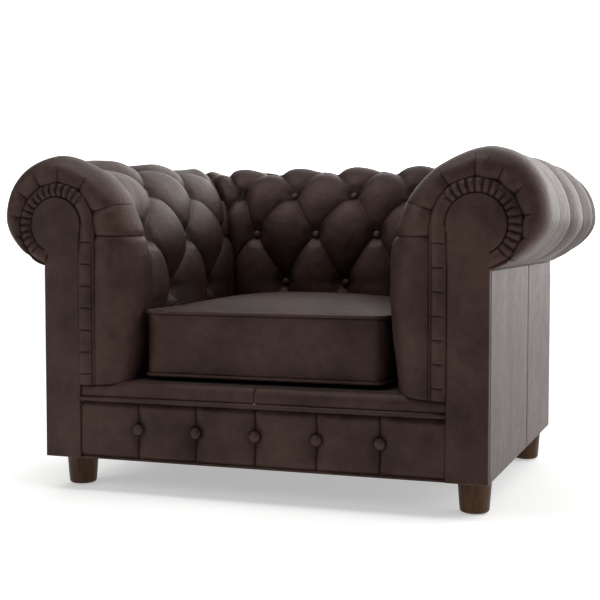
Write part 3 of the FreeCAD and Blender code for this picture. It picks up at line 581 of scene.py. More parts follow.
def tuft(i, r, step, seed, lead, first_channel=1.0):
    """Height from 0 at a button to 1 on a crest, and signed distances to the nearest creases."""
    row = 2 * LAST_ROW - r if r > LAST_ROW else abs(r)
    wander = WANDER * min(1.0, 2 * diamond(i, row, step, lead)[0])
    column = i + wander * uneven(i, r, 0.9, seed)
    row += wander * uneven(i, r, 0.9, seed + 7)
    height, first, second = diamond(column, row, step, lead)
    second = NO_FOLD if height > CREASE_HEIGHT else second
    if r > LAST_ROW:
        share = ease(0.0, 0.55, r - LAST_ROW)
        hang = 1 - HANG_DEPTH * (1 - swell((column - 1) / 2, CHANNEL_POWER))
        height = blend(height, hang, share)
        first = blend(first, upright_fold(column - 1, step), share)
        second = blend(second, NO_FOLD, share)
    if r < 0:
        share = ease(0.0, 0.6, -r)
        depth = blend(CREST_DEPTH, SEAM_DEPTH, ease(0.3, 2.6, -r))
        depth *= blend(first_channel, 1.0, ease(0.4, 1.4, column))
        channel = 1 - depth * (1 - swell(column / 2, CHANNEL_POWER))
        height = blend(height, channel, share)
        upright = upright_fold(column, step)
        faint = FAINT_FOLD if column > 1 else FAINT_FOLD + FAINTER_FOLD * (1 - first_channel)
        first = blend(first, math.copysign(abs(upright) + faint, upright), share)
        second = NO_FOLD
    height += PUFF_UNEVEN * uneven(i, r, 1.4, seed + 3) * height
    return height, first, second


# %% Where the covers meet
MITRE_HEIGHT = 0.14
MITRE_PINCH = 0.12
MITRE_WIDTH = 0.013
SEAM_STATION = 4.7


def mitre_height(arc):
    """The corner is a soft valley that is pinched in at the level of the second row."""
    return MITRE_HEIGHT - MITRE_PINCH * bell(row_at(arc) - 1, 0.35)


def into_mitre(height, arc, away):
    return blend(height, mitre_height(arc), math.exp(-away / MITRE_WIDTH))


def into_seam(lift, station):
    """The stuffing ends where the cover is turned under to the seam of the outside panel."""
    return blend(lift, 0.0, ease(SEAM_STATION, 5.0, station))


print("a fold is up to", TUFT_DEPTH, "m deep")

# %% [markdown]
# ## The arms
# An arm's hide is one sheet from the deck over the roll to the outside seam, and from the gathered front
# to the mitre with the back. The front turns in through a quarter of an ellipse to the pleated ring, with
# short pleats that take up the spare hide. The sheet is a grid shaped by the section and the tufting.
# Near the mitre the section eases over to the back's, so that both sheets end on the same line.
# Stuffing isn't even: it has settled on the inner shoulder, and is fuller outside the roll and behind the
# front, and the cushion has pressed a hollow beside it.

# %% Stuffing of an arm
SLUMP = 0.0115
SLUMP_MIDDLE = 116
SLUMP_REACH = 38
OUTER_SWELL = 0.006
FRONT_BULGE = 0.008
LOW_HOLLOW = 0.008


def slump(across, up):
    share = (degrees_of(across, up) - SLUMP_MIDDLE) / SLUMP_REACH
    return -SLUMP * max(0.0, 1 - share * share) ** 1.5


def outer_swell(across, up):
    angle = degrees_of(across, up)
    return OUTER_SWELL * ease(85, 45, angle) * ease(-85, -40, angle)


def front_bulge(y, z):
    along = ease(0.0, 0.09, y) * ease(0.26, 0.17, y)
    return FRONT_BULGE * along * ease(0.385, 0.435, z) * ease(0.60, 0.50, z)


def stuffing(y, z, station, across, up):
    """How much fuller than its plain section an arm is at a point."""
    more = outer_swell(across, up) + slump(across, up) * ease(0.45, 0.07, y)
    if across <= 0:
        more += front_bulge(y, z)
    if station < 1:
        more -= LOW_HOLLOW * ease(0.40, 0.27, z)
    return more


# %% Arm front
SCROLL_X = ROLL_X + 0.004
SCROLL_Z = ROLL_Z - 0.019
FACING_RADIUS = 0.060
FACING_INNER = 0.400
RING_RADIUS = 0.0895
RING_INNER = 0.365
BORDER_DEPTH = 0.070
BORDER_FACE = 0.001
BORDER_START = math.radians(-24)
BORDER_SHARE = 0.16
BAND_LOW = DECK_Z - 0.008


def ring_edge(x, z):
    """The place on the outer edge of the ring that faces a point of the arm's surface."""
    if z <= SCROLL_Z and x < SCROLL_X:
        return RING_INNER, z
    angle = math.atan2(z - SCROLL_Z, x - SCROLL_X)
    return SCROLL_X + RING_RADIUS * math.cos(angle), SCROLL_Z + RING_RADIUS * math.sin(angle)


def turn_power(z, across, up):
    """How tightly the front turns: more so on the outer side of the roll and low on the inner face."""
    outer = ease(75, 25, abs(degrees_of(across, up)))
    low = ease(0.52, 0.40, z) if across < 0 else 0.0
    return 1 - 0.42 * outer - 0.34 * low


# %% Pleats of an arm's front
PLEATS = ((163, 0.9), (126, 0.40), (92, 0.42), (64, 0.45), (38, 0.45), (10, 0.35), (-16, 0.3), (-45, 0.8))
PLEAT_WIDTH = 0.009
PLEAT_DEPTH = 0.0045
PLEAT_FADE = 0.05


def pleat(x, z, reach):
    """Depth and signed distance of the radial pleats, each an angle and how far out it reaches."""
    angle = degrees_of(x - SCROLL_X, z - SCROLL_Z)
    radius = math.hypot(x - SCROLL_X, z - SCROLL_Z)
    depth, nearest = 0.0, NO_FOLD
    if z < SCROLL_Z - 0.004 and x < SCROLL_X:
        return depth, nearest
    for degrees, length in PLEATS:
        side = math.radians(angle - degrees) * radius
        beyond = max(0.0, reach - length)
        mark = math.copysign(math.hypot(side, beyond * PLEAT_FADE), side)
        if abs(mark) < abs(nearest):
            nearest = mark
        depth += bell(side, PLEAT_WIDTH) * (1 - ease(length * 0.5, length + 0.15, reach))
    return depth, nearest


# %% The front of an arm's hide
SEAM_GROOVE = 0.004
SEAM_WIDTH = 0.007


def front_place(u, arc):
    """The part that turns in to the ring, for u from 0 at the ring to 1 where the tufting starts."""
    station = station_at(ARM_LENGTHS, arc)
    x, z, across, up = section(ARM_INNER, station)
    turn = blend(BORDER_START, math.pi / 2, u)
    start = math.sin(BORDER_START)
    reach = (math.sin(turn) - start) / (1 - start)
    y = BORDER_FACE + BORDER_DEPTH * (1 - max(0.0, math.cos(turn)) ** turn_power(z, across, up))
    edge_x, edge_z = ring_edge(x, z)
    width = max(0.004, math.hypot(x - edge_x, z - edge_z))
    lateral, forward = BORDER_DEPTH * math.sin(turn), -width * math.cos(turn)
    size = math.hypot(lateral, forward)
    out_x, out_z = blend(edge_x, x, reach), blend(edge_z, z, reach)
    depth, mark = pleat(out_x, out_z, reach)
    seam = SEAM_ARC - arc
    sunk = PLEAT_DEPTH * min(1.0, depth) + SEAM_GROOVE * bell(seam, SEAM_WIDTH)
    lift = into_seam((TUFT_LIFT + stuffing(y, z, station, across, up)) * reach - sunk, station)
    drop = (DECK_Z - BAND_LOW) * (1 - u) * (1 - ease(0.0, 0.04, arc))
    share = lateral / size * lift
    return (out_x + across * share, y + forward / size * lift, out_z + up * share - drop), (mark, seam, 0.9)


# %% The tufted part of an arm's hide
CREST_LEAN = 0.20
OUTER_LEAN = -0.48
FIRST_CHANNEL = 0.25
SEAM_SINK = 0.13
LAST_FOLD_PULL = 0.41


def crest_lean(r):
    """The folds lean forward on their way up to the crest, and back again down the outside."""
    if r > 0:
        return CREST_LEAN * ease(1.0, 0.0, r)
    return blend(CREST_LEAN, OUTER_LEAN, ease(0.0, -2.2, r))


def side_place(t, arc, seed):
    """The part behind the front, for t from 0 at the front to 1 at the mitre."""
    station = station_at(ARM_LENGTHS, arc)
    r = row_at(arc)
    far = section(BACK_INNER, station)
    end = far[0] + far[2] * offset_of(mitre_height(arc)) + MITRE
    y = blend(BORDER_FACE + BORDER_DEPTH, end, t)
    share = ease(end - 0.12, end, y)
    x, z, across, up = (blend(a, b, share) for a, b in zip(section(ARM_INNER, station), far))
    i = (y - ARM_FIRST) / ARM_STEP
    last = (end - ARM_FIRST) / ARM_STEP
    i += crest_lean(r) * (1 - ease(last - 2.2, last - 0.7, i))
    i += LAST_FOLD_PULL * ease(1.9, 1.0, r) * ease(last - 1.0, last, i)
    height, first, second = tuft(abs(i), r, ARM_STEP, seed, -1, FIRST_CHANNEL)
    if i < 0:
        plain = ease(0.12, 0.50, -i)
        seam = SEAM_ARC - arc
        height = blend(height, 1.0 - SEAM_SINK * bell(seam, SEAM_WIDTH), plain)
        first = blend(first, NO_FOLD, plain)
        second = blend(second, seam, plain)
    height = into_mitre(height, arc, end - y)
    lift = into_seam(offset_of(height) + stuffing(y, z, station, across, up), station)
    return (x + across * lift, y, z + up * lift), (first, second, height)


def arm_place(seed):
    def place(u, v):
        arc = v * sum(ARM_LENGTHS)
        if u < BORDER_SHARE:
            return front_place(u / BORDER_SHARE, arc)
        return side_place((u - BORDER_SHARE) / (1 - BORDER_SHARE), arc, seed)

    return place


# %% Make the arms
ARM_COLUMNS = 190
HIDE_ROWS = 226
THICK_HIDE = 0.0018
THIN_HIDE = 0.0015

for word, side, seed in (("right", 1, 2.3), ("left", -1, 11.9)):
    arm = hide(word + "_arm_upholstery", ARM_COLUMNS, HIDE_ROWS, arm_place(seed), THICK_HIDE,
               (word + "_arm_cover", word + "_arm_pad"), side)

# %% [markdown]
# ## The back
# The back is the same tufted sheet between the two mitres, with its buttons closer together. It is laid
# out from the middle, so both halves match. Its stations are those of the arm, which makes both edges
# of each mitre the same curve.

# %% Make the back
BACK_COLUMNS = 216
BACK_LEAN = 0.008
CORNER_REACH = 0.12
BACK_SEED = 5.1


def back_lean(r):
    """The folds of the back were drawn a little to one side above the middle row."""
    return BACK_LEAN * ease(2.2, 1.0, r)


def corner_pull(r, end):
    """How many steps the last fold is drawn over to the mitre, so that the two don't run side by side."""
    if r <= -1:
        return 0.0
    share = ease(-1.0, -0.4, r)
    corner = min(5.0, 5.0 - r) * share + end / BACK_STEP * (1 - share)
    return (corner - end / BACK_STEP) * ease(2.0, 1.0, r)


def back_place(u, v):
    arc = v * sum(ARM_LENGTHS)
    station = station_at(ARM_LENGTHS, arc)
    r = row_at(arc_at(BACK_LENGTHS, station))
    x, z, across, up = section(BACK_INNER, station)
    end = x + across * offset_of(mitre_height(arc))
    along = (2 * u - 1) * end
    i = (along - back_lean(r) * (1 - ease(end - 0.10, end - 0.02, abs(along)))) / BACK_STEP
    i += math.copysign(corner_pull(r, end), along) * ease(end - CORNER_REACH, end, abs(along))
    height, first, second = tuft(i + 1, r, BACK_STEP, BACK_SEED, 1)
    height = into_mitre(height, arc, end - abs(along))
    lift = into_seam(offset_of(height), station)
    return (along, x + across * lift + MITRE, z + up * lift), (first, second, height)


back = hide("back_upholstery", BACK_COLUMNS, HIDE_ROWS, back_place, THICK_HIDE,
            ("inside_back_cover", "back_pad"), turned=True)

# %% [markdown]
# ## Tufting buttons
# A covered button is a flat dome with a puckered rim. One is turned from a sphere, and copies of it are
# seated at each crossing of the folds, square to the surface there.

# %% One covered button
BUTTON_SEGMENTS = 20
BUTTON_RINGS = 12
PUCKER = 0.05


def covered_button(bm, base, direction, radius, rise):
    # The dome is flattened, then every second rim point is pulled in a little, as a gathered cover does.
    sphere = bmesh.ops.create_uvsphere(bm, u_segments=BUTTON_SEGMENTS, v_segments=BUTTON_RINGS, radius=1.0)
    for vert in sphere["verts"]:
        x, y, z = vert.co
        gather = 0.5 + 0.5 * math.cos(math.atan2(y, x) * BUTTON_SEGMENTS / 2)
        width = radius * (1 - PUCKER * ease(0.6, 1.0, math.hypot(x, y)) * gather)
        vert.co = (x * width, y * width, (z if z < 0 else z ** 0.8) * rise)
    turn = Vector((0, 0, 1)).rotation_difference(direction).to_matrix().to_4x4()
    bmesh.ops.transform(bm, matrix=Matrix.Translation(base) @ turn, verts=sphere["verts"])


# %% Tufting buttons
BUTTON_RADIUS = 0.0100
BUTTON_RISE = 0.0072
BUTTON_SEAT = offset_of(0) + 0.005
CORNER_ROOM = 0.020


def arm_button_spots():
    for row, arc in enumerate(ROW_ARCS):
        x, z, across, up = section(ARM_INNER, station_at(ARM_LENGTHS, arc))
        y = ARM_FIRST + (row % 2 - crest_lean(row)) * ARM_STEP
        while y + CORNER_ROOM < x + MITRE:
            yield Vector((x, y, z)), Vector((across, 0, up))
            y += 2 * ARM_STEP


def back_button_spots():
    for row, arc in enumerate(ROW_ARCS):
        x, z, across, up = section(BACK_INNER, station_at(BACK_LENGTHS, arc))
        along = ((row + 1) % 2) * BACK_STEP
        while along + CORNER_ROOM < x:
            shift = back_lean(row) * (1 - ease(x - 0.10, x - 0.02, along))
            for side in ((1, -1) if along else (1,)):
                yield Vector((side * along + shift, x + MITRE, z)), Vector((0, across, up))
            along += 2 * BACK_STEP


def tufting_buttons(word, spots, side=1):
    bm = bmesh.new()
    for place, direction in spots:
        covered_button(bm, place + direction * BUTTON_SEAT, direction, BUTTON_RADIUS, BUTTON_RISE)
    mirrored(bm, side)
    make_piece(word + "_tufting", bm, button_leather, slot="button_leather", stands_for=(word + "_buttons",))


tufting_buttons("right_arm", arm_button_spots())
tufting_buttons("left_arm", arm_button_spots(), -1)
tufting_buttons("back", back_button_spots())

# %% [markdown]
# ## Facings and their pleated bands
# The facing is a flat keyhole of leather on a board: a disc with a post below it. Its outline starts as one
# vertex that is spun round the scroll, and the filled face is given thickness and a soft edge.
# The band round it is a gathered strip with a tight row of pleats round the disc. Down the post its gathers
# are far apart and end at a line of stitches, outside which runs a narrow plain edge.

# %% Facings
FACING_THICKNESS = 0.010
FACING_EDGE = 0.0035
DISC_STEPS = 48
FACING_SHARP = math.radians(40)


def facing_panel(word, side):
    bm = bmesh.new()
    start = -math.acos((BODY_X - SCROLL_X) / FACING_RADIUS)
    finish = math.pi + math.acos((SCROLL_X - FACING_INNER) / FACING_RADIUS)
    first = (SCROLL_X + FACING_RADIUS * math.cos(start), 0, SCROLL_Z + FACING_RADIUS * math.sin(start))
    bmesh.ops.spin(bm, geom=[bm.verts.new(first)], cent=(SCROLL_X, 0, SCROLL_Z), axis=(0, -1, 0),
                   angle=finish - start, steps=DISC_STEPS)
    outline = bm.verts[:] + [bm.verts.new((x, 0, FOOT_TOP)) for x in (FACING_INNER, BODY_X)]
    face = bm.faces.new(outline)
    bmesh.ops.recalc_face_normals(bm, faces=[face])
    grown = bmesh.ops.extrude_face_region(bm, geom=[face])
    moved = [item for item in grown["geom"] if isinstance(item, bmesh.types.BMVert)]
    bmesh.ops.translate(bm, vec=(0, FACING_THICKNESS, 0), verts=moved)
    bmesh.ops.recalc_face_normals(bm, faces=bm.faces[:])
    rim = [edge for edge in bm.edges if all(abs(vert.co.y) < 1e-6 for vert in edge.verts)]
    bmesh.ops.bevel(bm, geom=rim, offset=FACING_EDGE, offset_type="OFFSET", affect="EDGES", segments=4,
                    profile=0.5, material=-1)
    mirrored(bm, side)
    piece = make_piece(word + "_facing", bm, plain_leather, stands_for=(word + "_facing_panel",))
    piece.data.set_sharp_from_angle(angle=FACING_SHARP)


# %% The band down the post
BAND_BACK = 0.006
BAND_CROWN = 0.0095
BAND_STRAIGHT = SCROLL_Z - BAND_LOW
POST_PLEAT = 0.047
POST_DEPTH = 0.0020
STITCH_LINE = 0.82
STITCH_DEPTH = 0.0022


def post_folds(run, v):
    """Depth of the gathers, how far the band lies flush, and its two fold distances."""
    count = (run / POST_PLEAT) % 1 - 0.5
    mark = count * POST_PLEAT if 0.12 < v < STITCH_LINE else NO_FOLD
    ripple = POST_DEPTH * bell(count, 0.07) * ease(0.05, 0.3, v)
    ripple *= ease(STITCH_LINE + 0.05, STITCH_LINE - 0.05, v)
    below = 1 - ease(BAND_STRAIGHT - 0.08, BAND_STRAIGHT - 0.02, run)
    stitch = (v - STITCH_LINE) * (FACING_INNER - RING_INNER)
    ripple += STITCH_DEPTH * below * bell(v - STITCH_LINE, 0.07)
    flush = (BAND_BACK + 0.0014) * below * (1 - v) ** 3
    return ripple, flush, apart(mark, 0.0006), apart(stitch, 0.0008 + 0.004 * (1 - below))


def apart(distance, more):
    """A signed distance that is taken further from its fold, which makes the fold fainter."""
    return math.copysign(abs(distance) + more, distance)


# %% The band round the disc
RING_END = math.radians(-73)
RING_MIDDLE = (FACING_RADIUS + RING_RADIUS) / 2
PLEAT_DEGREES = 11.5
RING_DEPTH = 0.0048
RING_WOBBLE = 1.2
RING_MARK = 0.004


def ring_folds(angle, v, seed):
    tight = ease(2.75, 2.0, angle) * ease(-1.0, -0.6, angle)
    wobble = RING_WOBBLE * noise.noise(Vector((math.degrees(angle) / 14, seed, 0)))
    wave = math.sin(math.pi * (math.degrees(angle) + wobble) / PLEAT_DEGREES)
    ripple = RING_DEPTH * (1 - abs(wave) ** 0.6) * tight * (0.55 + 0.45 * math.sin(math.pi * v))
    return ripple, wave * RING_MARK if tight > 0.3 else NO_FOLD


def band_place(seed):
    def place(u, v):
        run = u * (BAND_STRAIGHT + (math.pi - RING_END) * RING_MIDDLE)
        if run < BAND_STRAIGHT:
            inner = (FACING_INNER, BAND_LOW + run)
            outer = (RING_INNER, BAND_LOW + run)
            ripple, flush, mark, stitch = post_folds(run, v)
        else:
            angle = math.pi - (run - BAND_STRAIGHT) / RING_MIDDLE
            inner, outer = (
                (SCROLL_X + radius * math.cos(angle), SCROLL_Z + radius * math.sin(angle))
                for radius in (FACING_RADIUS, RING_RADIUS)
            )
            ripple, mark = ring_folds(angle, v, seed)
            flush, stitch = 0.0, NO_FOLD
        crown = math.sin(math.pi * v) ** 0.7
        y = BAND_BACK - flush - BAND_CROWN * crown + ripple * crown
        x, z = (blend(a, b, blend(-0.04, 1.04, v)) for a, b in zip(inner, outer))
        # The third fold value is lower at the band's two edges than on its crown, which paints shade along
        # the edges.
        return (x, y, z), (mark, stitch, 0.5 + 0.5 * crown)

    return place


for word, side in (("right", 1), ("left", -1)):
    facing_panel(word, side)
    hide(word + "_band", 420, 14, band_place(side * 3.7), THIN_HIDE, (word + "_pleated_band",), side)

# %% [markdown]
# ## The outside panels
# The outside of each arm and of the back is hide stretched over board. It is almost flat, but a hand-fixed
# panel shows slow waves and a closed seam where two hides are joined, and those carry the highlight.

# %% Outside panels
PANEL_SEAM_Y = 0.450
PANEL_WAVE = 0.0011
PANEL_PROUD = 0.0012
PANEL_SEAM = 0.0020
PANEL_EDGE = 0.0022


def panel_lift(along, z, edge, seam, seed):
    """How far a stretched hide stands off its board: slow waves, a closed seam and turned edges."""
    wave = noise.noise(Vector((along * 11, z * 2.2, seed)))
    wave += 0.4 * noise.noise(Vector((along * 26, z * 7, seed)))
    turned = 1 - ease(0.0, 0.005, min(edge, SEAM_Z + 0.002 - z))
    lift = PANEL_PROUD + PANEL_WAVE * wave * ease(0.0, 0.05, edge)
    return lift - PANEL_SEAM * bell(seam, 0.004) - PANEL_EDGE * turned


def side_panel(seed):
    def place(u, v):
        y = blend(FACING_THICKNESS, REAR_Y, u)
        z = blend(FOOT_TOP, SEAM_Z, v)
        seam = y - PANEL_SEAM_Y
        edge = min(y - FACING_THICKNESS, REAR_Y - y, z - FOOT_TOP)
        return (BODY_X + panel_lift(y, z, edge, seam, seed), y, z), (seam, NO_FOLD, 0.9)

    return place


def rear_panel(u, v):
    x = blend(-BODY_X, BODY_X, u)
    z = blend(FOOT_TOP, SEAM_Z, v)
    seam = abs(x) - BODY_X / 3
    edge = min(BODY_X - abs(x), z - FOOT_TOP)
    return (x, REAR_Y + panel_lift(x, z, edge, seam, 8.8), z), (seam, NO_FOLD, 0.9)


for word, side, seed in (("right", 1, 1.5), ("left", -1, 6.5)):
    hide(word + "_outside_arm", 200, 90, side_panel(seed), THIN_HIDE, (word + "_outside_arm_cover",), side,
         material=panel_leather)
hide("outside_back", 240, 90, rear_panel, THIN_HIDE, ("outside_back_cover",), turned=True,
     material=panel_leather)

# %% [markdown]
# ## The front base
# Below the seat runs a padded border with five upright folds, each held by a large button. Above it lie a
# welt and the rounded lip of the deck, which is sewn in the middle.

# %% Base border
BORDER_TOP = 0.199
COVER_SETBACK = 0.006
BASE_STEP = 0.133
BASE_FOLDS = (-2, -1, 0, 1, 2)
BASE_BUTTON_Z = 0.139
BASE_BUTTON_RADIUS = 0.0130
BASE_BUTTON_RISE = 0.0105
BASE_BUTTON_SEAT = 0.0065
BASE_FOLD = 0.0150
BORDER_PUFF = 0.00175
BORDER_TUCK = 0.004


def border_place(u, v):
    x = blend(-FACING_INNER, FACING_INNER, u)
    z = blend(FOOT_TOP, BORDER_TOP, v)
    nearest = round(x / BASE_STEP)
    fold, depth = NO_FOLD, 0.0
    if nearest in BASE_FOLDS:
        fold = x - nearest * BASE_STEP
        near = math.hypot(fold, (z - BASE_BUTTON_Z) * 0.6)
        depth = 0.42 * math.exp(-abs(fold) / 0.0085) + 0.58 * bell(near, 0.023)
    rounding = ease(0.0, 0.016, min(z - FOOT_TOP, BORDER_TOP - z))
    wave = noise.noise(Vector((x * 14, z * 9, 4.4)))
    y = COVER_SETBACK + BORDER_TUCK * (1 - rounding) - BORDER_PUFF * rounding
    y += BORDER_TUCK * (1 - ease(0.0, 0.014, BORDER_TOP - z))
    y += BASE_FOLD * depth * blend(0.5, 1.0, rounding) + 0.0008 * wave
    # The third fold value falls in each fold and round each button, which paints shade into them.
    return (x, y, z), (fold, NO_FOLD, 1.0 - 0.6 * depth)


hide("base_border", 320, 56, border_place, THIN_HIDE, ("base_border_cover", "base_border_pad"))

bm = bmesh.new()
for index in BASE_FOLDS:
    spot = Vector((index * BASE_STEP, COVER_SETBACK + BASE_BUTTON_SEAT, BASE_BUTTON_Z))
    covered_button(bm, spot, Vector((0, -1, 0)), BASE_BUTTON_RADIUS, BASE_BUTTON_RISE)
make_piece("base_border_buttons", bm, button_leather, slot="button_leather", stands_for=("base_buttons",))

# %% Deck lip
LIP_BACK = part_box("seat_lip_cover")[1].y - FRONT
LIP_ROUND = 0.022
LIP_PROUD = 0.0012
LIP_TUCK = 0.0034
LIP_HIDE = 0.0012


def lip_place(u, v):
    x = blend(-FACING_INNER, FACING_INNER, u)
    wall = DECK_Z - LIP_ROUND - BORDER_TOP
    turn = LIP_ROUND * math.pi / 2
    run = v * (wall + turn + LIP_BACK - COVER_SETBACK - LIP_ROUND)
    seam = apart(x, 0.0016)
    out = LIP_PROUD * (1 - bell(x, 0.003)) - LIP_TUCK * (1 - ease(0.004, 0.013, run))
    out += 0.0006 * noise.noise(Vector((x * 16, run * 30, 2.0)))
    if run < wall:
        return (x, COVER_SETBACK - out, BORDER_TOP + run), (seam, NO_FOLD, 0.9)
    if run < wall + turn:
        angle = (run - wall) / LIP_ROUND
        y = COVER_SETBACK + LIP_ROUND - (LIP_ROUND + out) * math.cos(angle)
        return (x, y, DECK_Z - LIP_ROUND + (LIP_ROUND + out) * math.sin(angle)), (seam, NO_FOLD, 1.0)
    return (x, COVER_SETBACK + LIP_ROUND + run - wall - turn, DECK_Z + min(out, 0.0)), (seam, NO_FOLD, 0.8)


hide("deck_lip", 260, 26, lip_place, LIP_HIDE, ("seat_lip_cover",))

# %% Piping along a path
def piping(name, points, radius, closed, body, stands_for=()):
    curve = bpy.data.curves.new(name, "CURVE")
    curve.dimensions = "3D"
    curve.bevel_depth = radius
    curve.bevel_resolution = 4
    curve.use_fill_caps = not closed
    line = curve.splines.new("POLY")
    line.points.add(len(points) - 1)
    for spot, point in zip(line.points, points):
        spot.co = (*point, 1)
    line.use_cyclic_u = closed
    scratch = bpy.data.objects.new(name + "_path", curve)
    mesh = bpy.data.meshes.new_from_object(scratch)
    bm = bmesh.new()
    bm.from_mesh(mesh)
    bmesh.ops.remove_doubles(bm, verts=bm.verts[:], dist=1e-6)
    bmesh.ops.recalc_face_normals(bm, faces=bm.faces[:])
    bpy.data.objects.remove(scratch)
    bpy.data.meshes.remove(mesh)
    return make_piece(name, bm, piping_leather, body=body, stands_for=stands_for)


# %% Welt and hem
WELT_Z = 0.2015
WELT_RADIUS = 0.0054
WELT_SETBACK = COVER_SETBACK - 0.0006
WELT_STEPS = 160
HEM_RADIUS = 0.0026
HEM_SETBACK = COVER_SETBACK + 0.0008

across_front = [blend(-FACING_INNER, FACING_INNER, k / WELT_STEPS) for k in range(WELT_STEPS + 1)]
welt_line = [Vector((x, WELT_SETBACK, WELT_Z)) for x in across_front]
piping("base_welt", welt_line, WELT_RADIUS, False, "chair", ("lip_welt",))
hem_line = [Vector((x, HEM_SETBACK, FOOT_TOP + HEM_RADIUS)) for x in across_front]
piping("base_hem", hem_line, HEM_RADIUS, False, "chair")

# %% [markdown]
# ## The seat cushion
# The cushion is a foam block in a sewn leather case: two panels joined by a boxing strip, with piping in
# both seams. Its case starts as a box that reaches from seam to seam. Cloth simulation then inflates it
# while the seams are held, so the panels crown and the boxing bellies out the way a full case does.

# %% Outline of the cushion
CUSHION_X = 0.2668
CUSHION_SHIFT = -0.0047
CUSHION_FRONT = 0.0495
CUSHION_REAR = 0.5830
CUSHION_LOW = 0.2535
CUSHION_HIGH = 0.3875
CUSHION_CORNER = 0.027
CUSHION_DEEP = (CUSHION_FRONT + CUSHION_REAR) / 2
CUSHION_HALF = (CUSHION_REAR - CUSHION_FRONT) / 2
CUSHION_LEVEL = (CUSHION_LOW + CUSHION_HIGH) / 2
CORNER_STEPS = 14


def cushion_outline(z, grown):
    """The closed line of a seam, pushed outwards by a little."""
    radius = CUSHION_CORNER + grown
    x = CUSHION_X - CUSHION_CORNER
    low = CUSHION_FRONT + CUSHION_CORNER
    high = CUSHION_REAR - CUSHION_CORNER
    points = []
    for cx, cy, start in ((x, low, -90), (x, high, 0), (-x, high, 90), (-x, low, 180)):
        for k in range(CORNER_STEPS + 1):
            angle = math.radians(start + 90 * k / CORNER_STEPS)
            place = (CUSHION_SHIFT + cx + radius * math.cos(angle), cy + radius * math.sin(angle), z)
            points.append(Vector(place))
    return points


def inside_outline(x, y):
    """Distance inside the cushion's outline."""
    dx = abs(x) - (CUSHION_X - CUSHION_CORNER)
    dy = abs(y - CUSHION_DEEP) - (CUSHION_HALF - CUSHION_CORNER)
    out = Vector((max(dx, 0), max(dy, 0))).length
    return CUSHION_CORNER - (out if out > 0 else max(dx, dy))


# %% The case before it is filled
CUSHION_VOXEL = 0.0066


def cushion_start():
    bm = bmesh.new()
    bmesh.ops.create_cube(bm, size=1.0)
    size = (2 * CUSHION_X, CUSHION_REAR - CUSHION_FRONT, CUSHION_HIGH - CUSHION_LOW)
    bmesh.ops.scale(bm, vec=size, verts=bm.verts[:])
    bmesh.ops.translate(bm, vec=(0, CUSHION_DEEP, CUSHION_LEVEL), verts=bm.verts[:])
    upright = [edge for edge in bm.edges if abs(edge.verts[0].co.z - edge.verts[1].co.z) > 0.1]
    bmesh.ops.bevel(bm, geom=upright, offset=CUSHION_CORNER, offset_type="OFFSET", affect="EDGES",
                    segments=10, profile=0.5, material=-1)
    mesh = bpy.data.meshes.new("cushion_start")
    bm.to_mesh(mesh)
    bm.free()
    scratch = bpy.data.objects.new("cushion_start", mesh)
    bpy.context.scene.collection.objects.link(scratch)
    remesh = scratch.modifiers.new("remesh", "REMESH")
    remesh.mode = "VOXEL"
    remesh.voxel_size = CUSHION_VOXEL
    depsgraph = bpy.context.evaluated_depsgraph_get()
    even = bpy.data.meshes.new_from_object(scratch.evaluated_get(depsgraph))
    bpy.data.objects.remove(scratch)
    bpy.data.meshes.remove(mesh)
    return even


# %% Filling the case
CUSHION_FRAMES = 20
CUSHION_PRESSURE = 40.0
CASE_MASS = 0.1
CASE_STIFFNESS = 18
CUSHION_CROWN = 0.0345


def inflate(mesh, held):
    scratch = bpy.data.objects.new("cushion_inflating", mesh)
    bpy.context.scene.collection.objects.link(scratch)
    group = scratch.vertex_groups.new(name="seams")
    group.add(held, 1.0, "REPLACE")
    cloth = scratch.modifiers.new("cloth", "CLOTH")
    cloth.settings.use_pressure = True
    cloth.settings.mass = CASE_MASS
    cloth.settings.uniform_pressure_force = CUSHION_PRESSURE
    cloth.settings.effector_weights.gravity = 0
    cloth.settings.vertex_group_mass = "seams"
    cloth.settings.tension_stiffness = CASE_STIFFNESS
    cloth.settings.compression_stiffness = CASE_STIFFNESS
    cloth.settings.quality = 5
    cloth.point_cache.frame_start = 1
    cloth.point_cache.frame_end = CUSHION_FRAMES
    for step in range(1, CUSHION_FRAMES + 1):
        bpy.context.scene.frame_set(step)
    depsgraph = bpy.context.evaluated_depsgraph_get()
    grown = bpy.data.meshes.new_from_object(scratch.evaluated_get(depsgraph))
    bpy.data.objects.remove(scratch)
    bpy.context.scene.frame_set(1)
    return grown


# %% Where the case may lie
CUSHION_CAP = 0.034
CUSHION_BULGE = 0.2724
CASE_FRONT = 0.0430
CASE_REAR = 0.5865
CASE_AT_ZIP = 0.5822
ZIP_HALF = 0.222
ZIP_Z = 0.3235
ZIP_HALF_HEIGHT = 0.024
DECK_GAP = 0.0006


def cushion_rest(place):
    """The nearest place on the deck, between the arms, in front of the zip and under the full crown."""
    x = max(-CUSHION_BULGE, min(CUSHION_BULGE, place.x))
    y = max(CASE_FRONT, place.y)
    z = place.z
    crown = max(0.0, z - CUSHION_HIGH) / CUSHION_CROWN
    if crown > 0:
        z = CUSHION_HIGH + CUSHION_CROWN * (1 - (1 - min(1.0, crown)) ** 1.6)
    z = max(DECK_Z + DECK_GAP, z)
    if place.y > CUSHION_REAR - 0.012 and abs(x) < ZIP_HALF and abs(z - ZIP_Z) < ZIP_HALF_HEIGHT:
        y = min(y, CASE_AT_ZIP)
    return Vector((x, min(y, CASE_REAR), z))


# %% Cushion case
SEAM_REACH = 0.006
SMOOTHINGS = 4

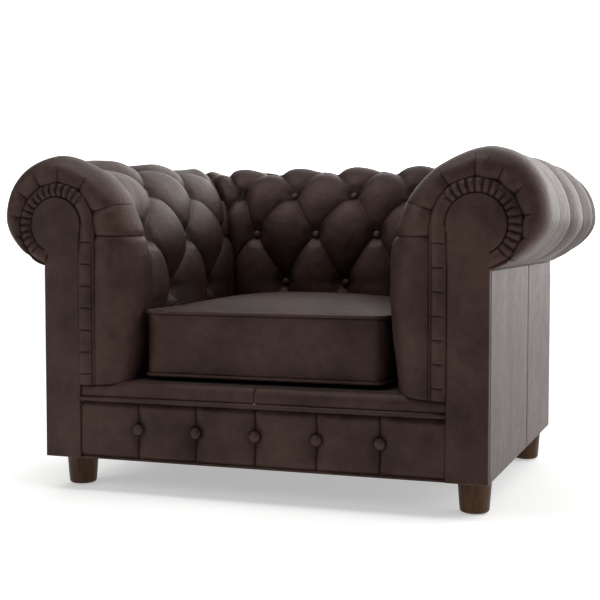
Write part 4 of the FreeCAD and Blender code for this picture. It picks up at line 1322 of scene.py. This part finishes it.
mesh = cushion_start()
start = [vert.co.copy() for vert in mesh.vertices]
held = [
    index for index, place in enumerate(start)
    if inside_outline(place.x, place.y) < SEAM_REACH
    and min(abs(place.z - CUSHION_LOW), abs(place.z - CUSHION_HIGH)) < 0.005
]
mesh = inflate(mesh, held)
bm = bmesh.new()
bm.from_mesh(mesh)
bm.verts.ensure_lookup_table()
largest = 0.0
for vert, before in zip(bm.verts, start):
    move = vert.co - before
    largest = max(largest, move.length)
    if move.length > CUSHION_CAP:
        move *= CUSHION_CAP / move.length
    vert.co = cushion_rest(before + move)
print("cushion:", len(bm.verts), "points,", len(held), "held, largest move", round(largest, 4))
kept = set(held)
free = [vert for vert in bm.verts if vert.index not in kept]
for repeat in range(SMOOTHINGS):
    bmesh.ops.smooth_vert(bm, verts=free, factor=0.5, use_axis_x=True, use_axis_y=True, use_axis_z=True)

# %% [markdown]
# The simulation leaves the case smooth. Sitting and stuffing leave it lightly rumpled, most of all by the
# seams, where the hide is gathered on to its piping, so small folds are added along the boxing and slow
# waves across the top. The wadding and the foam inside are copies of the rumpled case, drawn in a little.

# %% Cushion wrinkles, filling and piping
TOP_WAVE = 0.0016
TOP_PUCKER = 0.0011
BOXING_WAVE = 0.0008
BOXING_PUCKER = 0.0009
FILLING_HALF = 0.08
CUSHION_WELT = 0.0040
WELT_OUT = 0.0010
FILLINGS = (
    ("cushion_wadding", "cushion_wrap", "fibre_wrap", 0.0030),
    ("cushion_foam", "cushion_core", "foam", 0.0130),
)


def rumple(place):
    x, y, z = place
    if z > CUSHION_HIGH + 0.001:
        inside = inside_outline(x, y)
        wave = noise.noise(Vector((x * 9 + y * 5, y * 16, 3.1)))
        pucker = noise.noise(Vector((x * 55, y * 55, 1.7)))
        near_seam = ease(0.002, 0.02, inside) * (1 - ease(0.02, 0.07, inside))
        return TOP_WAVE * wave * ease(0.0, 0.05, inside) + TOP_PUCKER * pucker * near_seam
    wave = noise.noise(Vector((x * 15, y * 15, z * 7)))
    pucker = noise.noise(Vector((x * 60, y * 60, z * 12)))
    near_seam = 1 - ease(0.006, 0.045, min(CUSHION_HIGH - z, z - CUSHION_LOW))
    return BOXING_WAVE * wave + BOXING_PUCKER * pucker * near_seam


def drawn_in(bm, depth):
    """A copy of the case that is smaller by a depth on every side."""
    smaller = bm.copy()
    middle = Vector((0, CUSHION_DEEP, CUSHION_LEVEL))
    shares = [1 - depth / half for half in (CUSHION_X, CUSHION_HALF, FILLING_HALF)]
    bmesh.ops.translate(smaller, vec=-middle, verts=smaller.verts[:])
    bmesh.ops.scale(smaller, vec=shares, verts=smaller.verts[:])
    bmesh.ops.translate(smaller, vec=middle + Vector((CUSHION_SHIFT, 0, 0)), verts=smaller.verts[:])
    return smaller


bm.normal_update()
for vert in free:
    vert.co += vert.normal * rumple(vert.co)
    vert.co.x = max(-CUSHION_BULGE, min(CUSHION_BULGE, vert.co.x))
bm.normal_update()
filling = {name: drawn_in(bm, depth) for name, node_name, slot, depth in FILLINGS}
bmesh.ops.translate(bm, vec=(CUSHION_SHIFT, 0, 0), verts=bm.verts[:])
cushion = make_piece("cushion_case", bm, plain_leather, body="seat_cushion", stands_for=("cushion_cover",))
finer = cushion.modifiers.new("finer", "SUBSURF")
finer.levels = finer.render_levels = 1

for word, z, stands_for in (("top", CUSHION_HIGH, ("cushion_welts",)), ("bottom", CUSHION_LOW, ())):
    path = cushion_outline(z, WELT_OUT)
    piping("cushion_piping_" + word, path, CUSHION_WELT, True, "seat_cushion", stands_for)

# %% [markdown]
# ## Feet
# The feet are turned: a half profile is spun about the foot's axis. The profile tapers towards the floor
# and its lower edge is rounded. Each foot stands where the frame has it, over its glide.

# %% Stained wood
WOOD_DARK = (0.021, 0.0085, 0.0045)
WOOD_LIGHT = (0.078, 0.036, 0.0175)
WOOD_GLOSS = 0.22
WOOD_TINT = (1.0, 0.72, 0.52)


def stretched(tree, place, scale):
    return node(tree, "ShaderNodeMapping", {"Vector": place, "Scale": scale}).outputs[0]


def turned_wood():
    material, tree, shader, place = new_material("stained_wood")
    grain = stretched(tree, place, (42.0, 42.0, 5.0))
    rings = cloudy(tree, grain, 2.2, Detail=7.0, Roughness=0.6, Distortion=0.6)
    specks = cloudy(tree, stretched(tree, place, (900.0, 900.0, 40.0)), 1.0, Detail=2.0)
    colour = mix_colour(tree, spread(tree, rings, 0.32, 0.70), WOOD_DARK + (1,), WOOD_LIGHT + (1,))
    colour = darkened(tree, colour, spread(tree, specks, 0.30, 0.45, 0.6, 1.0), 0.6)
    feed(tree, colour, shader.inputs["Base Color"])
    feed(tree, spread(tree, rings, 0.3, 0.7, 0.50, 0.40), shader.inputs["Roughness"])
    feed(tree, bump(tree, specks, 0.0003, 0.4), shader.inputs["Normal"])
    gloss(shader, WOOD_GLOSS, WOOD_TINT)
    shader.inputs["Coat Weight"].default_value = 0.05
    shader.inputs["Coat Roughness"].default_value = 0.20
    return material


foot_wood = turned_wood()
print("wood", foot_wood.name)

# %% Turned feet
FOOT_TOP_RADIUS = 0.035
FOOT_LOW_RADIUS = 0.030
FOOT_EDGE = 0.007
FOOT_SHARP = math.radians(50)
GLIDE = 0.002
PROFILE_STEPS = 6
TURN_STEPS = 48


def foot_profile():
    """Radius and height along the half profile, from the glide up to the chair."""
    profile = [(0.0, GLIDE), (FOOT_LOW_RADIUS - FOOT_EDGE, GLIDE)]
    for k in range(1, PROFILE_STEPS + 1):
        angle = math.radians(90 * k / PROFILE_STEPS - 90)
        radius = FOOT_LOW_RADIUS - FOOT_EDGE + FOOT_EDGE * math.cos(angle)
        profile.append((radius, GLIDE + FOOT_EDGE + FOOT_EDGE * math.sin(angle)))
    for k in range(1, PROFILE_STEPS + 1):
        share = k / PROFILE_STEPS
        radius = blend(FOOT_LOW_RADIUS, FOOT_TOP_RADIUS, share)
        profile.append((radius, blend(GLIDE + FOOT_EDGE, FOOT_TOP, share)))
    return profile + [(0.0, FOOT_TOP)]


for name in ("front_left", "front_right", "rear_left", "rear_right"):
    low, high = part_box(name + "_foot")
    centre = Vector(((low.x + high.x) / 2, (low.y + high.y) / 2 - FRONT, 0))
    bm = bmesh.new()
    rim = [bm.verts.new((radius, 0, z)) for radius, z in foot_profile()]
    edges = [bm.edges.new(pair) for pair in zip(rim, rim[1:])]
    bmesh.ops.spin(bm, geom=rim + edges, cent=(0, 0, 0), axis=(0, 0, 1), angle=math.tau,
                   steps=TURN_STEPS, use_merge=True)
    bmesh.ops.remove_doubles(bm, verts=bm.verts[:], dist=1e-6)
    bmesh.ops.recalc_face_normals(bm, faces=bm.faces[:])
    bmesh.ops.translate(bm, vec=centre, verts=bm.verts[:])
    foot = make_piece(name + "_turned_foot", bm, foot_wood, slot="turned_wood", stands_for=(name + "_foot",))
    foot.data.set_sharp_from_angle(angle=FOOT_SHARP)

# %% [markdown]
# ## Inner pieces
# Timber, boards, foam, cloth and metal are inside the chair and stay as the frame has them. Each still
# gets a finish of its own, by the slot that the record gives it, so that it is right when the chair is
# opened up.

# %% Inner finishes
def woven(name, dark, light, threads, roughness=0.9):
    material, tree, shader, place = new_material(name)
    thread = {"Vector": place, "Scale": threads, "Distortion": 0.6, "Detail": 1.0}
    waves = [
        node(tree, "ShaderNodeTexWave", thread, bands_direction=way).outputs["Fac"]
        for way in ("X", "Y")
    ]
    weave = maths(tree, "MULTIPLY", *waves)
    patch = cloudy(tree, place, 18.0, Detail=4.0)
    tone = maths(tree, "ADD", maths(tree, "MULTIPLY", weave, 0.6), maths(tree, "MULTIPLY", patch, 0.4))
    feed(tree, mix_colour(tree, tone, dark + (1,), light + (1,)), shader.inputs["Base Color"])
    feed(tree, bump(tree, weave, 0.0004, 0.8), shader.inputs["Normal"])
    shader.inputs["Roughness"].default_value = roughness
    return material


def timber(name, dark, light, stretch):
    material, tree, shader, place = new_material(name)
    rings = cloudy(tree, stretched(tree, place, stretch), 3.0, Detail=8.0, Distortion=0.8)
    colour = mix_colour(tree, spread(tree, rings, 0.3, 0.7), dark + (1,), light + (1,))
    feed(tree, colour, shader.inputs["Base Color"])
    feed(tree, bump(tree, rings, 0.0004, 0.4), shader.inputs["Normal"])
    shader.inputs["Roughness"].default_value = 0.6
    return material


def speckled(name, dark, light, scale, roughness, metallic=0.0, depth=0.0003):
    material, tree, shader, place = new_material(name)
    spots = cloudy(tree, place, scale, Detail=5.0, Roughness=0.65)
    colour = mix_colour(tree, spread(tree, spots, 0.3, 0.7), dark + (1,), light + (1,))
    rough = spread(tree, spots, 0.3, 0.7, roughness - 0.08, roughness + 0.08)
    feed(tree, colour, shader.inputs["Base Color"])
    feed(tree, rough, shader.inputs["Roughness"])
    feed(tree, bump(tree, spots, depth, 0.5), shader.inputs["Normal"])
    shader.inputs["Metallic"].default_value = metallic
    return material


FINISHES = {
    "leather": plain_leather,
    "button_leather": button_leather,
    "turned_wood": foot_wood,
    "frame_beech": timber("planed_beech", (0.47, 0.30, 0.17), (0.66, 0.47, 0.30), (6.0, 6.0, 22.0)),
    "birch_plywood": timber("sawn_plywood", (0.52, 0.38, 0.22), (0.74, 0.60, 0.40), (9.0, 60.0, 9.0)),
    "fibreboard": speckled("hardboard", (0.24, 0.15, 0.09), (0.40, 0.28, 0.17), 160.0, 0.72),
    "foam": speckled("cut_foam", (0.70, 0.62, 0.42), (0.86, 0.81, 0.64), 420.0, 0.92, depth=0.0012),
    "fibre_wrap": speckled("wadding", (0.78, 0.78, 0.76), (0.92, 0.92, 0.91), 90.0, 0.95, depth=0.0015),
    "hessian": woven("jute_hessian", (0.26, 0.18, 0.09), (0.58, 0.46, 0.29), 95.0),
    "deck_cloth": woven("platform_cloth", (0.028, 0.019, 0.016), (0.075, 0.055, 0.047), 210.0, 0.82),
    "dust_cloth": woven("bottom_cloth", (0.010, 0.010, 0.010), (0.030, 0.030, 0.030), 150.0),
    "spring_steel": speckled("drawn_wire", (0.30, 0.30, 0.31), (0.48, 0.48, 0.49), 300.0, 0.38, metallic=1.0),
    "zinc_steel": speckled("plated_steel", (0.48, 0.48, 0.50), (0.68, 0.68, 0.70), 200.0, 0.34, metallic=1.0),
    "glide_plastic": speckled("dark_nylon", (0.035, 0.032, 0.030), (0.060, 0.055, 0.050), 250.0, 0.55),
    "zip_tape": woven("coil_tape", (0.020, 0.014, 0.012), (0.065, 0.048, 0.042), 330.0, 0.7),
    "zip_metal": speckled("nickel_slider", (0.20, 0.18, 0.16), (0.36, 0.33, 0.30), 500.0, 0.32, metallic=1.0),
}

for name, node_name, slot, depth in FILLINGS:
    inner = make_piece(name, filling[name], FINISHES[slot], body="seat_cushion", slot=slot,
                       stands_for=(node_name,))

slot_of = {part["node"]: part["material_slot"] for part in frame["record"]["subparts"]}
for name, piece in frame["nodes"].items():
    piece.data.materials.clear()
    piece.data.materials.append(FINISHES[slot_of[name]])
print("finished", len(frame["nodes"]), "frame nodes in", len(FINISHES), "finishes")

# %% [markdown]
# ## Measuring
# The dressed chair has to stay in the box of the frame, apart from the little that leather may stand
# proud.

# %% Dressed size
low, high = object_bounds()
print("dressed box", [round(c, 4) for c in low], [round(c, 4) for c in high])
